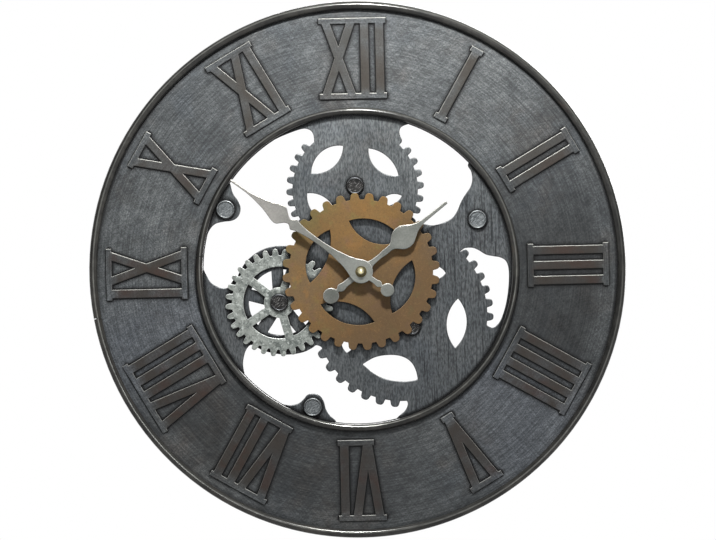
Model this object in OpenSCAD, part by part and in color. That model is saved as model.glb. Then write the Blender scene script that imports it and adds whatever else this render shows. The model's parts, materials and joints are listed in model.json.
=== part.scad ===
// Gear wall clock: dial ring, skeleton gear plate, dress gears, quartz movement and hands.
// Clock frame while drawing: x right, y up, z from the wall towards the viewer, spindle at x = y = 0.
// The finished part is turned so that it faces -Y with +Z up, and its origin is the keyhole on the wall.

/* [Dial ring and hoops] */
// Outside diameter of the whole clock
dial_d = 400; // [300:5:600]
// Thickness of the dial sheet
sheet_t = 1.5; // [1:0.1:3]
// Diameter of the outer hoop's rod
outer_rod_d = 6; // [4:0.2:10]
// Radius of the inner hoop's centre line
inner_hoop_r = 118.2; // [100:0.2:140]
// Diameter of the inner hoop's rod
inner_rod_d = 5.2; // [3:0.2:8]
// Width of the flat where each hoop sits on the sheet
hoop_flat_w = 2.4; // [1:0.1:4]
// Gap at the butt joint of each hoop
hoop_gap = 0.5; // [0.2:0.1:1]
// How far the dial sheet reaches inward past the inner hoop's centre line
sheet_inset = 2.2; // [1:0.1:4]
// How far the dial sheet stays inside the clock's outer edge
sheet_margin = 1.6; // [0.5:0.1:4]
// How far the middle of the dial ring lies left of the spindle
dial_left = 2.6; // [-4:0.1:4]
// How far the middle of the dial ring lies above the spindle
dial_above = 1.7; // [-4:0.1:4]

/* [Numerals] */
// Gap between the ends of the numerals and each hoop
numeral_gap = 6.4; // [2:0.2:12]
// Height of the numerals over the dial sheet
numeral_rise = 1.2; // [0.4:0.1:2]
// Width of one stroke
stroke_w = 6.2; // [3:0.1:9]
// Radial height of a serif bar
bar_h = 4.2; // [2:0.1:7]
// Distance between two neighbouring upright strokes
stroke_pitch = 11.2; // [8:0.1:14]
// How far a serif bar runs past the middle of its last stroke
bar_overhang = 4.9; // [3:0.1:8]

/* [Skeleton plate] */
// Thickness of the plate
plate_t = 2; // [1:0.1:4]
// How far the plate reaches outward past the inner hoop's centre line, behind the dial ring
plate_overlap = 7.8; // [5:0.1:12]
// How far the plate's rim reaches inward past the inner hoop's centre line
rim_inset = 3.2; // [2.6:0.1:8]
// Tip radius of the top gear of the plate
top_gear_r = 51.4; // [40:0.2:60]
// Tip radius of the lower right gear of the plate
low_gear_r = 68.9; // [50:0.2:80]
// Depth of the plate's teeth
plate_tooth_h = 4.6; // [2:0.1:8]
// Radius of the solid round middle, hidden behind the brown gear
middle_r = 52; // [40:0.5:56]
// Radius of the left wheel of the plate
wheel_r = 34.5; // [25:0.5:40]
// Radius of the hidden backing under the silver gear's teeth
wheel_back_r = 36.2; // [25:0.2:38]
// Radius of the left wheel's windows
window_r = 24.5; // [15:0.5:30]
// Radius of the left wheel's hub
plate_hub_r = 11; // [8:0.5:16]
// Width of the left wheel's spokes
plate_spoke_w = 8.9; // [4:0.1:12]

/* [Silver gear] */
// Tip radius of the silver gear
silver_r = 40.2; // [30:0.2:45]
// Thickness of the silver gear
silver_t = 1.8; // [1:0.1:3]
// Depth of its teeth
silver_tooth_h = 4.9; // [2:0.1:7]
// Inside radius of its rim
silver_rim_r = 26.8; // [20:0.2:32]
// Radius of its hub
silver_hub_r = 11.4; // [8:0.2:16]
// Width of its spokes
silver_spoke_w = 6.3; // [3:0.1:10]
// Thickness of the spacer under it
silver_spacer_t = 0.6; // [0.5:0.1:3]
// Radius of the spacer under it
silver_spacer_r = 9; // [7:0.5:12]

/* [Brown gear] */
// Tip radius of the brown gear
brown_r = 58.6; // [45:0.2:70]
// Thickness of the brown gear
brown_t = 3; // [1:0.1:5]
// Depth of its teeth
brown_tooth_h = 4.9; // [2:0.1:8]
// Gap between the tallest piece that the brown gear passes over and its back
lift_gap = 0.4; // [0.2:0.1:6]
// Outside radius of the tube that carries it
brown_tube_r = 8; // [6:0.2:12]

/* [Bolts and stand-offs] */
// Shank diameter of the bolts
bolt_d = 6; // [4:0.5:8]
// Radius of the heads of the grey lug bolts
lug_head_r = 7.1; // [5:0.1:8]
// Height of the grey heads
lug_head_h = 3.4; // [2:0.1:7]
// Gap between the inner hoop and the heads of the two outer lug bolts
lug_gap = 0.4; // [0.4:0.1:3]
// How much nearer to the spindle the right lug bolt sits
lug_inset = 11.1; // [0:0.1:20]
// Radius of the heads of the black gear bolts
gear_head_r = 6.6; // [5:0.1:8]
// Height of the black heads
gear_head_h = 2.6; // [2:0.1:6]
// Rounding at the edge of a head
head_round = 1; // [0.3:0.1:2]
// Width of the flat rim round the shallow dish in a head
dish_rim = 0.3; // [0.2:0.1:3]
// Depth of the dish
dish_h = 0.6; // [0.2:0.1:1]
// Width across the flats of the gear bolts' nuts
nut_w = 10; // [8:0.5:13]
// Height of the gear bolts' nuts
nut_h = 4.8; // [3:0.1:7]
// How far the gear bolts stick out behind their nuts
bolt_end = 1.2; // [0.5:0.1:3]
// Outside diameter of a stand-off pillar
pillar_d = 12; // [8:0.5:16]
// How deep a lug bolt goes into its pillar
bolt_reach = 10; // [5:0.5:14]
// Height of a rubber foot behind its pillar
foot_h = 3; // [1.5:0.1:6]
// Diameter of a rubber foot
foot_d = 13; // [8:0.5:18]
// Length of the foot's stem in the pillar
foot_stem = 4; // [2:0.5:6]

/* [Hanger] */
// How far the keyhole lies outside the inner hoop's centre line
hanger_out = 15.8; // [13:0.2:20]
// Width of the bracket
hanger_w = 26; // [18:1:40]
// Thickness of the bracket's metal
hanger_t = 1.5; // [1:0.1:3]
// Radius of the keyhole's entry hole
keyhole_r = 4.5; // [3:0.1:6]
// Width of the keyhole's slot
keyhole_slot_w = 4.4; // [3:0.1:6]
// Length of the slot above the entry hole's middle
keyhole_slot_h = 11; // [6:0.5:14]
// Lower end of the bracket's wall plate below the keyhole
hanger_low = 12; // [8:1:16]
// Upper end of the bracket's wall plate above the keyhole
hanger_high = 20; // [14:1:30]
// Length of each foot of the bracket
hanger_foot = 13; // [8:1:20]

/* [Hands] */
// Length of the minute hand from the spindle
minute_len = 118.3; // [80:0.5:125]
// Length of the hour hand from the spindle
hour_len = 82; // [50:0.5:95]
// Thickness of a hand
hand_t = 1.2; // [0.6:0.1:2]
// Clockwise angle of the minute hand from 12
minute_turn = 306.3; // [0:0.1:360]
// Clockwise angle of the hour hand from 12
hour_turn = 52.3; // [0:0.1:360]
// Radius of the hub disc of a hand
hand_hub_r = 8.8; // [5:0.2:12]
// Gap between the threaded bush's front end and the hour hand
hour_clear = 0.8; // [0.3:0.1:6]
// Gap between the two hands
hand_gap = 2.2; // [1:0.1:4]
// Distance of the minute hand's counterweight from the spindle
minute_weight_at = 23.9; // [18:0.2:32]
// Radius of the minute hand's counterweight
minute_weight_r = 5; // [3:0.2:8]
// Distance of the hour hand's counterweight from the spindle
hour_weight_at = 28.7; // [18:0.2:36]
// Radius of the hour hand's counterweight
hour_weight_r = 5.9; // [3:0.2:8]
// Radius of the cap nut's flange
cap_flange_r = 4.2; // [2:0.1:6]
// Height of the cap nut's flange
cap_flange_h = 1; // [0.5:0.1:2]
// Radius of the cap nut's dome
cap_dome_r = 2.8; // [1.5:0.1:5]
// Height of the straight part of the cap nut
cap_wall_h = 1.4; // [0.5:0.1:3]

/* [Movement case] */
// Gap between the wall and the setting knob
knob_wall_gap = 0.7; // [0.3:0.1:3]
// Wall thickness of the case
case_wall = 1.2; // [0.8:0.1:2]
// Thickness of the rear cover
cover_t = 1.5; // [1:0.1:3]
// Gap beside the battery in its bay
bay_gap = 0.3; // [0.1:0.05:2]
// How far the battery's back stays inside the back of the case
cell_sink = 0.55; // [0:0.05:4]
// Free length at each end of the battery, for its contact
cell_room = 1.75; // [0.6:0.05:6]
// Gap between the hour wheel and the wall of the battery bay
wheel_room = 0.8; // [0.4:0.1:4]
// Thickness of the middle plate
bridge_t = 1; // [0.6:0.1:2]
// Gap between the rotor's pinion and the middle plate
bridge_gap = 1; // [0.4:0.1:2]
// Side of a square corner post
post_w = 2.6; // [2:0.1:4]
// Thickness of the rubber washer between case and plate
rubber_t = 1; // [0.5:0.1:2]
// Radius of the rubber washer
rubber_r = 11; // [8:0.5:16]
// Outside radius of the threaded bush
bush_r = 4; // [3.5:0.1:6]
// Distance the bush stands out in front of the brown gear
bush_out = 4.2; // [3.8:0.1:8]
// Radius of the bush's flange inside the case
bush_flange_r = 6.5; // [5:0.5:9]
// Thickness of the bush's flange
bush_flange_t = 0.6; // [0.4:0.1:1]
// Thickness of the brass washer
washer_t = 0.8; // [0.5:0.1:2]
// Radius of the brass washer
washer_r = 7.6; // [6:0.1:10]
// Width across the flats of the fixing nut
hex_w = 12; // [10:0.5:16]
// Height of the fixing nut
hex_h = 2.6; // [1.5:0.1:4]

/* [Battery and electrics] */
// Diameter of the battery
cell_d = 14.2; // [14:0.1:14.5]
// Length of the battery's body
cell_len = 48.8; // [48:0.1:50]
// Radius of the battery's plus nub
cell_nub_r = 2.7; // [2:0.1:3]
// Height of the plus nub
cell_nub_h = 1.3; // [1:0.1:2]
// Side of a contact plate
contact_w = 9; // [6:0.5:12]
// Thickness of a contact plate
contact_t = 0.4; // [0.2:0.1:0.8]
// Thickness of the circuit board
board_t = 1; // [0.6:0.1:1.6]
// Width of the circuit board
board_w = 12.4; // [8:0.1:14]
// Height of the circuit board
board_h = 15; // [10:0.5:16]
// Side of the chip
chip_w = 5; // [3:0.5:7]
// Thickness of the chip
chip_t = 0.9; // [0.5:0.1:1.5]
// Diameter of the quartz crystal's can
crystal_d = 2; // [1.5:0.1:3]
// Length of the quartz crystal's can
crystal_len = 6; // [5:0.5:8]
// Outside radius of the coil winding
coil_r = 2.1; // [1.6:0.1:2.8]
// Radius of the coil's core
coil_core_r = 1.2; // [0.8:0.1:1.5]
// Length of the coil winding
coil_len = 13; // [8:0.5:16]
// Radius of the bobbin's end flanges
bobbin_r = 2.3; // [1.8:0.1:3]
// Distance of the coil's axis above the rotor's axis
coil_rise = 11.42; // [9:0.02:14]
// Thickness of the bobbin's end flanges
bobbin_t = 0.7; // [0.4:0.1:1]
// Thickness of the stator plates
stator_t = 0.9; // [0.5:0.1:1.5]
// Width of the stator's arms
stator_w = 3.2; // [2:0.1:5]
// Radius of the hole round the rotor
stator_hole_r = 3.1; // [2.8:0.1:4]

/* [Wheels] */
// Tooth module of the minute work
minute_module = 0.5; // [0.4:0.01:0.6]
// Tooth module of the seconds wheel and its pinion
seconds_module = 0.5; // [0.4:0.01:0.6]
// Tooth module of the third and centre wheels
train_module = 0.3; // [0.25:0.01:0.4]
// Tooth module of the intermediate wheel and the rotor
rotor_module = 0.25; // [0.2:0.01:0.3]
// Thickness of a wheel
wheel_t = 0.8; // [0.5:0.1:1.2]
// Thickness of a pinion
pinion_t = 1.4; // [1:0.1:2]
// Gap between two wheels that lie over each other
wheel_gap = 0.96; // [0.6:0.02:1.4]
// Radius of a wheel's arbor
arbor_r = 0.6; // [0.4:0.05:1]
// Radius of the minute arbor behind the pinion
minute_rear_r = 0.9; // [0.6:0.05:1.2]
// Radius of the minute arbor inside the hour pipe
minute_arbor_r = 1.5; // [1:0.05:2]
// Radius of the minute arbor's threaded end
minute_stud_r = 1.2; // [0.8:0.05:1.4]
// Outside radius of the hour pipe
hour_pipe_r = 2.5; // [2:0.05:3]
// Radius of the rotor's magnet
magnet_r = 2.5; // [1.5:0.1:2.7]
// Height of the rotor's magnet
magnet_h = 2.6; // [1:0.1:4]
// Radius of the setting knob
knob_r = 5; // [3:0.1:6]
// Height of the setting knob
knob_h = 1.9; // [1:0.1:2.2]
// Radius of the setting knob's stem
stem_r = 1.5; // [1:0.1:2]
// Radial clearance of a turning pivot
run_gap = 0.05; // [0.02:0.01:0.1]
// Smallest free space between pieces that move past each other
free_gap = 0.4; // [0.3:0.05:1]

/* [Hidden] */
$fn = 96;
// One overrun serves all cuts that go right through.
overrun = 1;

// The silver gear's place on the plate, as shares of the inner hoop's radius.
silver_centre_shares = [-0.5203, -0.184];

// The brown gear passes over the silver gear and the heads on the plate. Where it is wide enough
// to reach the silver gear's own bolt, it passes over that head too.
silver_bolt_reach = norm(silver_centre_shares) * inner_hoop_r - gear_head_r;
silver_stack = silver_spacer_t + silver_t;
under_brown = brown_r > silver_bolt_reach ? silver_stack + gear_head_h : max(silver_stack, gear_head_h);

// Depths outside the movement, counted from the wall.
case_z = knob_wall_gap + knob_h + free_gap;
front_inner = case_z + cell_sink + cell_d + run_gap;
case_front = front_inner + case_wall;
plate_z = case_front + rubber_t;
plate_front = plate_z + plate_t;
sheet_front = plate_front + sheet_t;
silver_z = plate_front + silver_spacer_t;
brown_z = plate_front + under_brown + lift_gap;
brown_front = brown_z + brown_t;
bush_end = brown_front + bush_out;
hour_z = bush_end + hour_clear;
minute_z = hour_z + hand_t + hand_gap;

// Radii that follow the hoops.
dial_r = dial_d / 2;
outer_hoop_r = dial_r - outer_rod_d / 2;
sheet_r = dial_r - sheet_margin;
sheet_inner_r = inner_hoop_r - sheet_inset;
numeral_outer_r = dial_r - outer_rod_d - numeral_gap;
numeral_inner_r = inner_hoop_r + inner_rod_d / 2 + numeral_gap;
plate_r = inner_hoop_r + plate_overlap;
rim_inner_r = inner_hoop_r - rim_inset;
lug_rim_r = inner_hoop_r - inner_rod_d / 2 - lug_gap - lug_head_r;
hanger_y = inner_hoop_r + hanger_out;

// Joints of the hoops, and the rivets that the inner hoop hides.
outer_joint_turn = 260.6;
inner_joint_turn = 276;
rivet_r = 1.5;
rivet_head_r = 2.1;
rivet_head_h = 1;
rivet_count = 6;
rivet_turn = 15;

// Places of the lug bolts: angle from 3 o'clock and distance from the spindle.
lug_bolt_turns = [154.3, 21.3, 250.7];
lug_bolt_radii = [lug_rim_r, lug_rim_r - lug_inset, lug_rim_r];

// Other places on the plate, as shares of the inner hoop's radius.
top_centre_shares = [-0.0254, 0.5203];
low_centre_shares = [0.2479, -0.2792];
wheel_centre_shares = [-0.5068, -0.1159];
window_centre_shares = [-0.5051, -0.1819];
gear_bolt_shares = [
  [-0.0262, 0.5431], [-0.5203, -0.184], [0.3096, -0.3553]];

// Arcs of teeth on the plate gears: first tooth, step and number of teeth, in degrees.
top_teeth = [[138.8, 10.55, 5], [190.9, 9.8, 3], [-30.5, 10.6, 3], [2.5, 10.9, 4]];
low_teeth = [[205.1, 9.93, 7], [-11.4, 9.02, 7]];
plate_spoke_turn = 20.4;
silver_spoke_turn = 69.2;
silver_teeth = 32;
silver_tooth_turn = 3.3;
brown_teeth = 32;
brown_tooth_turn = 3.6;

// Outlines of the four openings. Smooth curves run through these points.
left_opening_shares = [
  [-0.5767, 0.8212], [-0.4916, 0.8623], [-0.3962, 0.898], [-0.3381, 0.9114],
  [-0.2995, 0.899], [-0.2822, 0.8723], [-0.2777, 0.8365], [-0.2814, 0.8124],
  [-0.2966, 0.7927], [-0.3154, 0.7511], [-0.2504, 0.7589], [-0.242, 0.522],
  [-0.242, 0.4036], [-0.2758, 0.1667], [-0.4281, -0.0025], [-0.6481, -0.0364],
  [-0.7919, -0.0279], [-0.8384, -0.0804], [-0.8934, -0.0787], [-0.9492, -0.0474],
  [-0.9814, 0.0102], [-1.0161, 0.0905], [-1.0288, 0.1836], [-0.9797, 0.2259],
  [-0.9518, 0.2834], [-0.9154, 0.3207], [-0.8638, 0.3342], [-0.8054, 0.341],
  [-0.7665, 0.368], [-0.7513, 0.4163], [-0.7665, 0.4645], [-0.797, 0.5119],
  [-0.8105, 0.5643], [-0.8215, 0.632], [-0.7151, 0.7465], [-0.651, 0.7871]];
right_opening_shares = [
  [0.3618, 0.9439], [0.3215, 0.9259], [0.2929, 0.9171], [0.2705, 0.9029],
  [0.2625, 0.8768], [0.2672, 0.8504], [0.2762, 0.8302], [0.2758, 0.8134],
  [0.2607, 0.7948], [0.2518, 0.7771], [0.2651, 0.76], [0.3172, 0.7368],
  [0.1895, 0.7335], [0.1895, 0.522], [0.2149, 0.3697], [0.2995, 0.2987],
  [0.3944, 0.2945], [0.4467, 0.2838], [0.4835, 0.2851], [0.5418, 0.3027],
  [0.5876, 0.33], [0.6176, 0.3714], [0.6396, 0.4222], [0.6667, 0.4679],
  [0.7005, 0.5152], [0.7157, 0.5609], [0.7107, 0.6151], [0.6937, 0.6701],
  [0.7902, 0.7589], [0.6379, 0.9619]];
slot_shares = [
  [0.6407, 0.1207], [0.6662, 0.1338], [0.7083, 0.1339], [0.7447, 0.1194],
  [0.7902, 0.0905], [0.8367, 0.0787], [0.8799, 0.0702], [0.9137, 0.0499],
  [0.9306, 0.0102], [0.934, -0.0533], [0.9271, -0.1371], [0.9138, -0.2125],
  [0.8944, -0.2804], [0.8711, -0.3335], [0.842, -0.3644], [0.8135, -0.3711],
  [0.7896, -0.3579], [0.7722, -0.3397], [0.6548, -0.2732], [0.621, -0.0702],
  [0.5871, 0.0652]];
bottom_opening_shares = [
  [0.247, -0.8122], [0.2217, -0.8029], [0.0964, -0.7301], [-0.0897, -0.6286],
  [-0.2335, -0.4932], [-0.2885, -0.4594], [-0.318, -0.4747], [-0.3754, -0.5008],
  [-0.4598, -0.5136], [-0.5437, -0.5074], [-0.6326, -0.4834], [-0.6988, -0.4475],
  [-0.7327, -0.4712], [-0.7513, -0.5186], [-0.758, -0.5778], [-0.7411, -0.6497],
  [-0.6861, -0.7174], [-0.6142, -0.7724], [-0.5423, -0.8147], [-0.4746, -0.8333],
  [-0.4162, -0.8249], [-0.3807, -0.7978], [-0.357, -0.7716], [-0.3215, -0.7631],
  [-0.2792, -0.7758], [-0.2538, -0.8147], [-0.242, -0.8621], [-0.2166, -0.9044],
  [-0.1827, -0.9365], [-0.1574, -0.9839], [-0.0051, -1.0347], [0.1472, -0.9839],
  [0.2149, -0.9213], [0.2572, -0.8858], [0.2758, -0.8485], [0.2707, -0.8232]];

// Leaf-shaped windows: both tips and the bulge to each side of the line between them.
leaf_shares = [
  [-0.2995, 0.6294, -0.0956, 0.797, 0.0601, 0.0601],
  [0.0651, 0.7775, 0.2504, 0.6024, 0.0406, 0.0609],
  [-0.3283, 0.5025, -0.1506, 0.319, 0.0609, 0.0609],
  [0.2682, 0.4729, 0.1292, 0.4235, 0.03, 0.034],
  [0.6091, -0.1844, 0.5838, -0.4958, 0.0635, 0.0626],
  [0.5342, -0.0209, 0.378, -0.0111, 0.044, 0.044],
  [-0.102, -0.5099, -0.0758, -0.3541, 0.044, 0.044]];

// Outline of the large window low on the plate.
large_window_shares = [
  [0.0001, -0.586], [0.0151, -0.5748], [0.0354, -0.5626], [0.0704, -0.5456],
  [0.1127, -0.535], [0.1601, -0.5308], [0.2074, -0.5329], [0.2492, -0.5433],
  [0.2856, -0.5631], [0.3143, -0.5942], [0.3323, -0.6335], [0.339, -0.6642],
  [0.3416, -0.6873], [0.3268, -0.6933], [0.3036, -0.697], [0.2667, -0.7004],
  [0.2194, -0.6972], [0.1671, -0.6886], [0.1149, -0.6717], [0.0661, -0.6443],
  [0.032, -0.6172], [0.0145, -0.6]];

// Leaf cut-outs of the brown gear: the angle of the middle of each, half the angle between the
// tips, and as shares of the gear's radius the tips' place and the outer and inner bulges.
brown_leaf_turns = [-21.6, 69.2, 158.2, 250.75];
brown_leaf_half_turn = 33;
brown_tip_share = 0.664;
brown_bulge_shares = [[0.145, 0.121], [0.123, 0.162], [0.164, 0.1], [0.129, 0.128]];

// Half widths of the hands as shares of their length, from the spindle to the tip.
minute_shape_shares = [
  [0, 0.0727], [0.0338, 0.0668], [0.0676, 0.0524], [0.0845, 0.0473], [0.1183, 0.0372],
  [0.1691, 0.0287], [0.2029, 0.0228], [0.2536, 0.0186], [0.3043, 0.0161], [0.355, 0.0165],
  [0.4057, 0.0182], [0.4227, 0.0199], [0.4565, 0.0237], [0.4903, 0.0296], [0.5156, 0.0389],
  [0.5283, 0.0296], [0.5385, 0.0211], [0.5486, 0.0178], [0.5621, 0.0211], [0.5748, 0.0287],
  [0.5917, 0.044], [0.6086, 0.0583], [0.6255, 0.0626], [0.6424, 0.0609], [0.6593, 0.0558],
  [0.6762, 0.0499], [0.7101, 0.038], [0.7439, 0.0287], [0.7777, 0.022], [0.8115, 0.0156],
  [0.8453, 0.011], [0.8791, 0.008], [0.9298, 0.0072], [0.9932, 0.0068], [1, 0.0042]];
hour_shape_shares = [
  [0, 0.061], [0.0732, 0.061], [0.0976, 0.039], [0.122, 0.028], [0.1707, 0.0226],
  [0.2317, 0.022], [0.2683, 0.0268], [0.3171, 0.0262], [0.3537, 0.0293], [0.378, 0.0415],
  [0.4024, 0.0634], [0.4268, 0.0854], [0.4512, 0.0988], [0.4817, 0.1055], [0.5122, 0.1049],
  [0.5366, 0.0988], [0.561, 0.0854], [0.5854, 0.0695], [0.6098, 0.0537], [0.6341, 0.0415],
  [0.6585, 0.0311], [0.6829, 0.0256], [0.7073, 0.0207], [0.7317, 0.0171], [0.8537, 0.0152],
  [0.9756, 0.014], [1, 0.0122]];

// Half widths of a hand's tail from the spindle out, as shares of the counterweight's distance.
tail_shares = [
  [0, 0.08], [0.42, 0.08], [0.55, 0.082], [0.62, 0.1], [0.67, 0.105], [0.72, 0.085],
  [0.77, 0.048], [0.82, 0.055], [0.9, 0.08]];

// Numerals: 0 is an upright stroke, 1 a V, 2 an X, each with its place in stroke pitches.
numerals = [
  [[0, 0]],
  [[0, -0.5], [0, 0.5]],
  [[0, -1], [0, 0], [0, 1]],
  [[0, -1.5], [0, -0.5], [0, 0.5], [0, 1.5]],
  [[1, 0]],
  [[1, -0.4], [0, 1.15]],
  [[1, -0.9], [0, 0.65], [0, 1.65]],
  [[1, -1.42], [0, 0.16], [0, 1.16], [0, 2.16]],
  [[0, -1.28], [2, 0.42]],
  [[2, 0]],
  [[2, -0.42], [0, 1.28]],
  [[2, -0.94], [0, 0.8], [0, 1.8]]
];
numeral_turn = 360 / len(numerals);
v_half_share = 0.76;
x_half_share = 0.88;

// Tooth counts of the wheels.
cannon_n = 12;
motion_n = 36;
motion_pinion_n = 10;
hour_n = 40;
knob_n = 12;
centre_n = 64;
third_n = 60;
seconds_n = 30;
inter_n = 64;
pinion_n = 8;
addendum_share = 0.85;
root_share = 1.25;

// Places of the arbors.
hour_module = minute_module * (cannon_n + motion_n) / (motion_pinion_n + hour_n);
motion_at = [minute_module * (cannon_n + motion_n) / 2, 0];
knob_dir = 35;
knob_at = motion_at + minute_module * (motion_n + knob_n) / 2 * [cos(knob_dir), sin(knob_dir)];
third_dir = 150;
third_at = train_module * (centre_n + pinion_n) / 2 * [cos(third_dir), sin(third_dir)];
seconds_dir = 45;
seconds_at = third_at + train_module * (third_n + pinion_n) / 2 * [cos(seconds_dir), sin(seconds_dir)];
inter_dir = 10;
inter_at = seconds_at + seconds_module * (seconds_n + pinion_n) / 2 * [cos(inter_dir), sin(inter_dir)];
rotor_dir = -15;
rotor_at = inter_at + rotor_module * (inter_n + pinion_n) / 2 * [cos(rotor_dir), sin(rotor_dir)];

// Depths inside the movement, counted from the wall.
cover_in = case_z + cover_t;
seconds_wheel_z = cover_in + wheel_gap;
third_wheel_z = seconds_wheel_z + wheel_t + wheel_gap;
centre_wheel_z = third_wheel_z + wheel_t + wheel_gap;
inter_wheel_z = centre_wheel_z + wheel_t + free_gap;
pinion_rise = (pinion_t - wheel_t) / 2;
bridge_z = inter_wheel_z + wheel_t + pinion_rise + bridge_gap;
bridge_front = bridge_z + bridge_t;
cannon_z = bridge_front + free_gap;
motion_wheel_z = cannon_z + pinion_rise;
hour_wheel_z = cannon_z + pinion_t + free_gap;
motion_pinion_z = hour_wheel_z - pinion_rise;
coil_z = inter_wheel_z - free_gap - bobbin_r;

// Outline of the case: it fits round the battery, the wheels and the coil.
coil_y = rotor_at[1] + coil_rise;
stator_right = rotor_at[0] + coil_len / 2 + bobbin_t + stator_w;
inner_w = max(cell_len + cell_nub_h + 2 * cell_room, 2 * (stator_right + free_gap));
contact_reach = (inner_w - cell_len - cell_nub_h) / 2;
case_w = inner_w + 2 * case_wall;
case_top = coil_y + stator_t / 2 + free_gap + post_w + case_wall;
hour_wheel_r = hour_module * (hour_n / 2 + addendum_share);
bay_top = -hour_wheel_r - wheel_room - case_wall;
bay_bottom = bay_top - cell_d - 2 * bay_gap;
case_bottom = bay_bottom - case_wall;
train_low = bay_top + case_wall;
train_h = case_top - case_wall - train_low;

// Turns the clock frame into the part's frame, with the keyhole on the wall as the origin.
module place() {
  translate([dial_left, 0, -hanger_y - dial_above])
    rotate([90, 0, 0])
      children();
}

// Moves from the spindle to the middle of the dial ring.
module on_dial() {
  translate([-dial_left, dial_above])
    children();
}

// A disc or bar of a given height that starts at a given distance from the wall.
module up(z, h) {
  translate([0, 0, z])
    linear_extrude(height = h)
      children();
}

// Turns a drawing clockwise, as on a dial.
module dial_turn(a) {
  rotate([0, 0, -a])
    children();
}

function ray(r, a) = r * [cos(a), sin(a)];

function spline_point(a, b, c, d, t) =
  0.5 * (2 * b + (c - a) * t + (2 * a - 5 * b + 4 * c - d) * t * t + (3 * b - 3 * c + d - a) * t * t * t);

// A smooth closed curve through points.
function closed_curve(p, n = 5) =
  [for (i = [0:len(p) - 1])
    for (s = [0:n - 1])
      spline_point(p[(i + len(p) - 1) % len(p)], p[i], p[(i + 1) % len(p)], p[(i + 2) % len(p)], s / n)];

// A smooth open curve through points.
function open_curve(p, n = 3) =
  concat([for (i = [0:len(p) - 2])
    for (s = [0:n - 1])
      spline_point(p[max(i - 1, 0)], p[i], p[i + 1], p[min(i + 2, len(p) - 1)], s / n)], [p[len(p) - 1]]);

// One tooth that points along x, as shares of its pitch width p and its height h.
module tooth(r_tip, h, p) {
  polygon([[r_tip - 1.2 * h, -0.34 * p], [r_tip - 0.8 * h, -0.29 * p], [r_tip - 0.35 * h, -0.25 * p],
    [r_tip - 0.1 * h, -0.18 * p], [r_tip, -0.08 * p], [r_tip, 0.08 * p], [r_tip - 0.1 * h, 0.18 * p],
    [r_tip - 0.35 * h, 0.25 * p], [r_tip - 0.8 * h, 0.29 * p], [r_tip - 1.2 * h, 0.34 * p]]);
}

// A disc with arcs of teeth.
module toothed_disc(r_tip, h, arcs) {
  circle(r = r_tip - h);
  for (arc = arcs)
    for (i = [0:arc[2] - 1])
      rotate(arc[0] + i * arc[1])
        tooth(r_tip, h, r_tip * abs(arc[1]) * PI / 180);
}

// Circle segment's radius from half its chord and its bulge.
function bulge_r(half, s) = (half * half + s * s) / (2 * s);

// A pointed leaf between two tips.
module leaf(a, b, left, right) {
  half = norm(b - a) / 2;
  turn = atan2(b[1] - a[1], b[0] - a[0]);
  translate((a + b) / 2)
    rotate(turn)
      intersection() {
        translate([0, left - bulge_r(half, left)])
          circle(r = bulge_r(half, left));
        translate([0, bulge_r(half, right) - right])
          circle(r = bulge_r(half, right));
      }
}

// Five spokes out to a given radius.
module spokes(r, w, turn) {
  for (i = [0:4])
    rotate(turn + i * 72)
      translate([0, -w / 2])
        square([r, w]);
}

module at_shares(list) {
  for (s = list)
    translate(s * inner_hoop_r)
      children();
}

module at_lugs() {
  for (i = [0:2])
    on_dial()
      translate(ray(lug_bolt_radii[i], lug_bolt_turns[i]))
        children();
}

// Serif bar from one place to another at a given radius.
module serif_bar(low, high, r) {
  translate([low - bar_overhang, r])
    square([high - low + 2 * bar_overhang, bar_h]);
}

// A straight stroke of a numeral between its outer and inner place.
module stroke(outer, inner) {
  polygon([[outer - stroke_w / 2, numeral_outer_r - bar_h / 2], [outer + stroke_w / 2, numeral_outer_r - bar_h / 2],
    [inner + stroke_w / 2, numeral_inner_r + bar_h / 2], [inner - stroke_w / 2, numeral_inner_r + bar_h / 2]]);
}

function glyph_half(kind) = (kind == 1 ? v_half_share : kind == 2 ? x_half_share : 0) * stroke_pitch;

function outer_places(glyphs) =
  [for (g = glyphs) for (side = [-1, 1]) g[1] * stroke_pitch + side * glyph_half(g[0])];

function inner_places(glyphs) =
  [for (g = glyphs) for (side = [-1, 1]) g[1] * stroke_pitch + side * (g[0] == 1 ? 0 : glyph_half(g[0]))];

module numeral(glyphs) {
  for (g = glyphs) {
    at = g[1] * stroke_pitch;
    half = glyph_half(g[0]);
    if (g[0] == 0)
      stroke(at, at);
    else
      for (side = [-1, 1])
        stroke(at + side * half, g[0] == 1 ? at : at - side * half);
  }
  serif_bar(min(outer_places(glyphs)), max(outer_places(glyphs)), numeral_outer_r - bar_h);
  serif_bar(min(inner_places(glyphs)), max(inner_places(glyphs)), numeral_inner_r);
}

module dial_ring() {
  color([0.36, 0.37, 0.39])
    place()
      on_dial() {
        difference() {
          up(plate_front, sheet_t)
            difference() {
              circle(r = sheet_r, $fn = 180);
              circle(r = sheet_inner_r, $fn = 180);
            }
          rivet_holes();
        }
        for (i = [0:len(numerals) - 1])
          dial_turn((i + 1) * numeral_turn)
            up(sheet_front, numeral_rise)
              numeral(numerals[i]);
      }
}

// A rod bent to a circle, with a narrow flat on the sheet and a butt joint.
module hoop(r, d, joint_turn) {
  lift = sqrt(d * d / 4 - hoop_flat_w * hoop_flat_w / 4);
  difference() {
    translate([0, 0, sheet_front + lift])
      rotate_extrude($fn = 180)
        translate([r, 0])
          intersection() {
            circle(r = d / 2, $fn = 20);
            translate([-d, -lift])
              square([2 * d, 2 * d]);
          }
    dial_turn(joint_turn)
      translate([-hoop_gap / 2, r - d, sheet_front - d])
        cube([hoop_gap, 2 * d, 3 * d]);
  }
}

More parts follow.
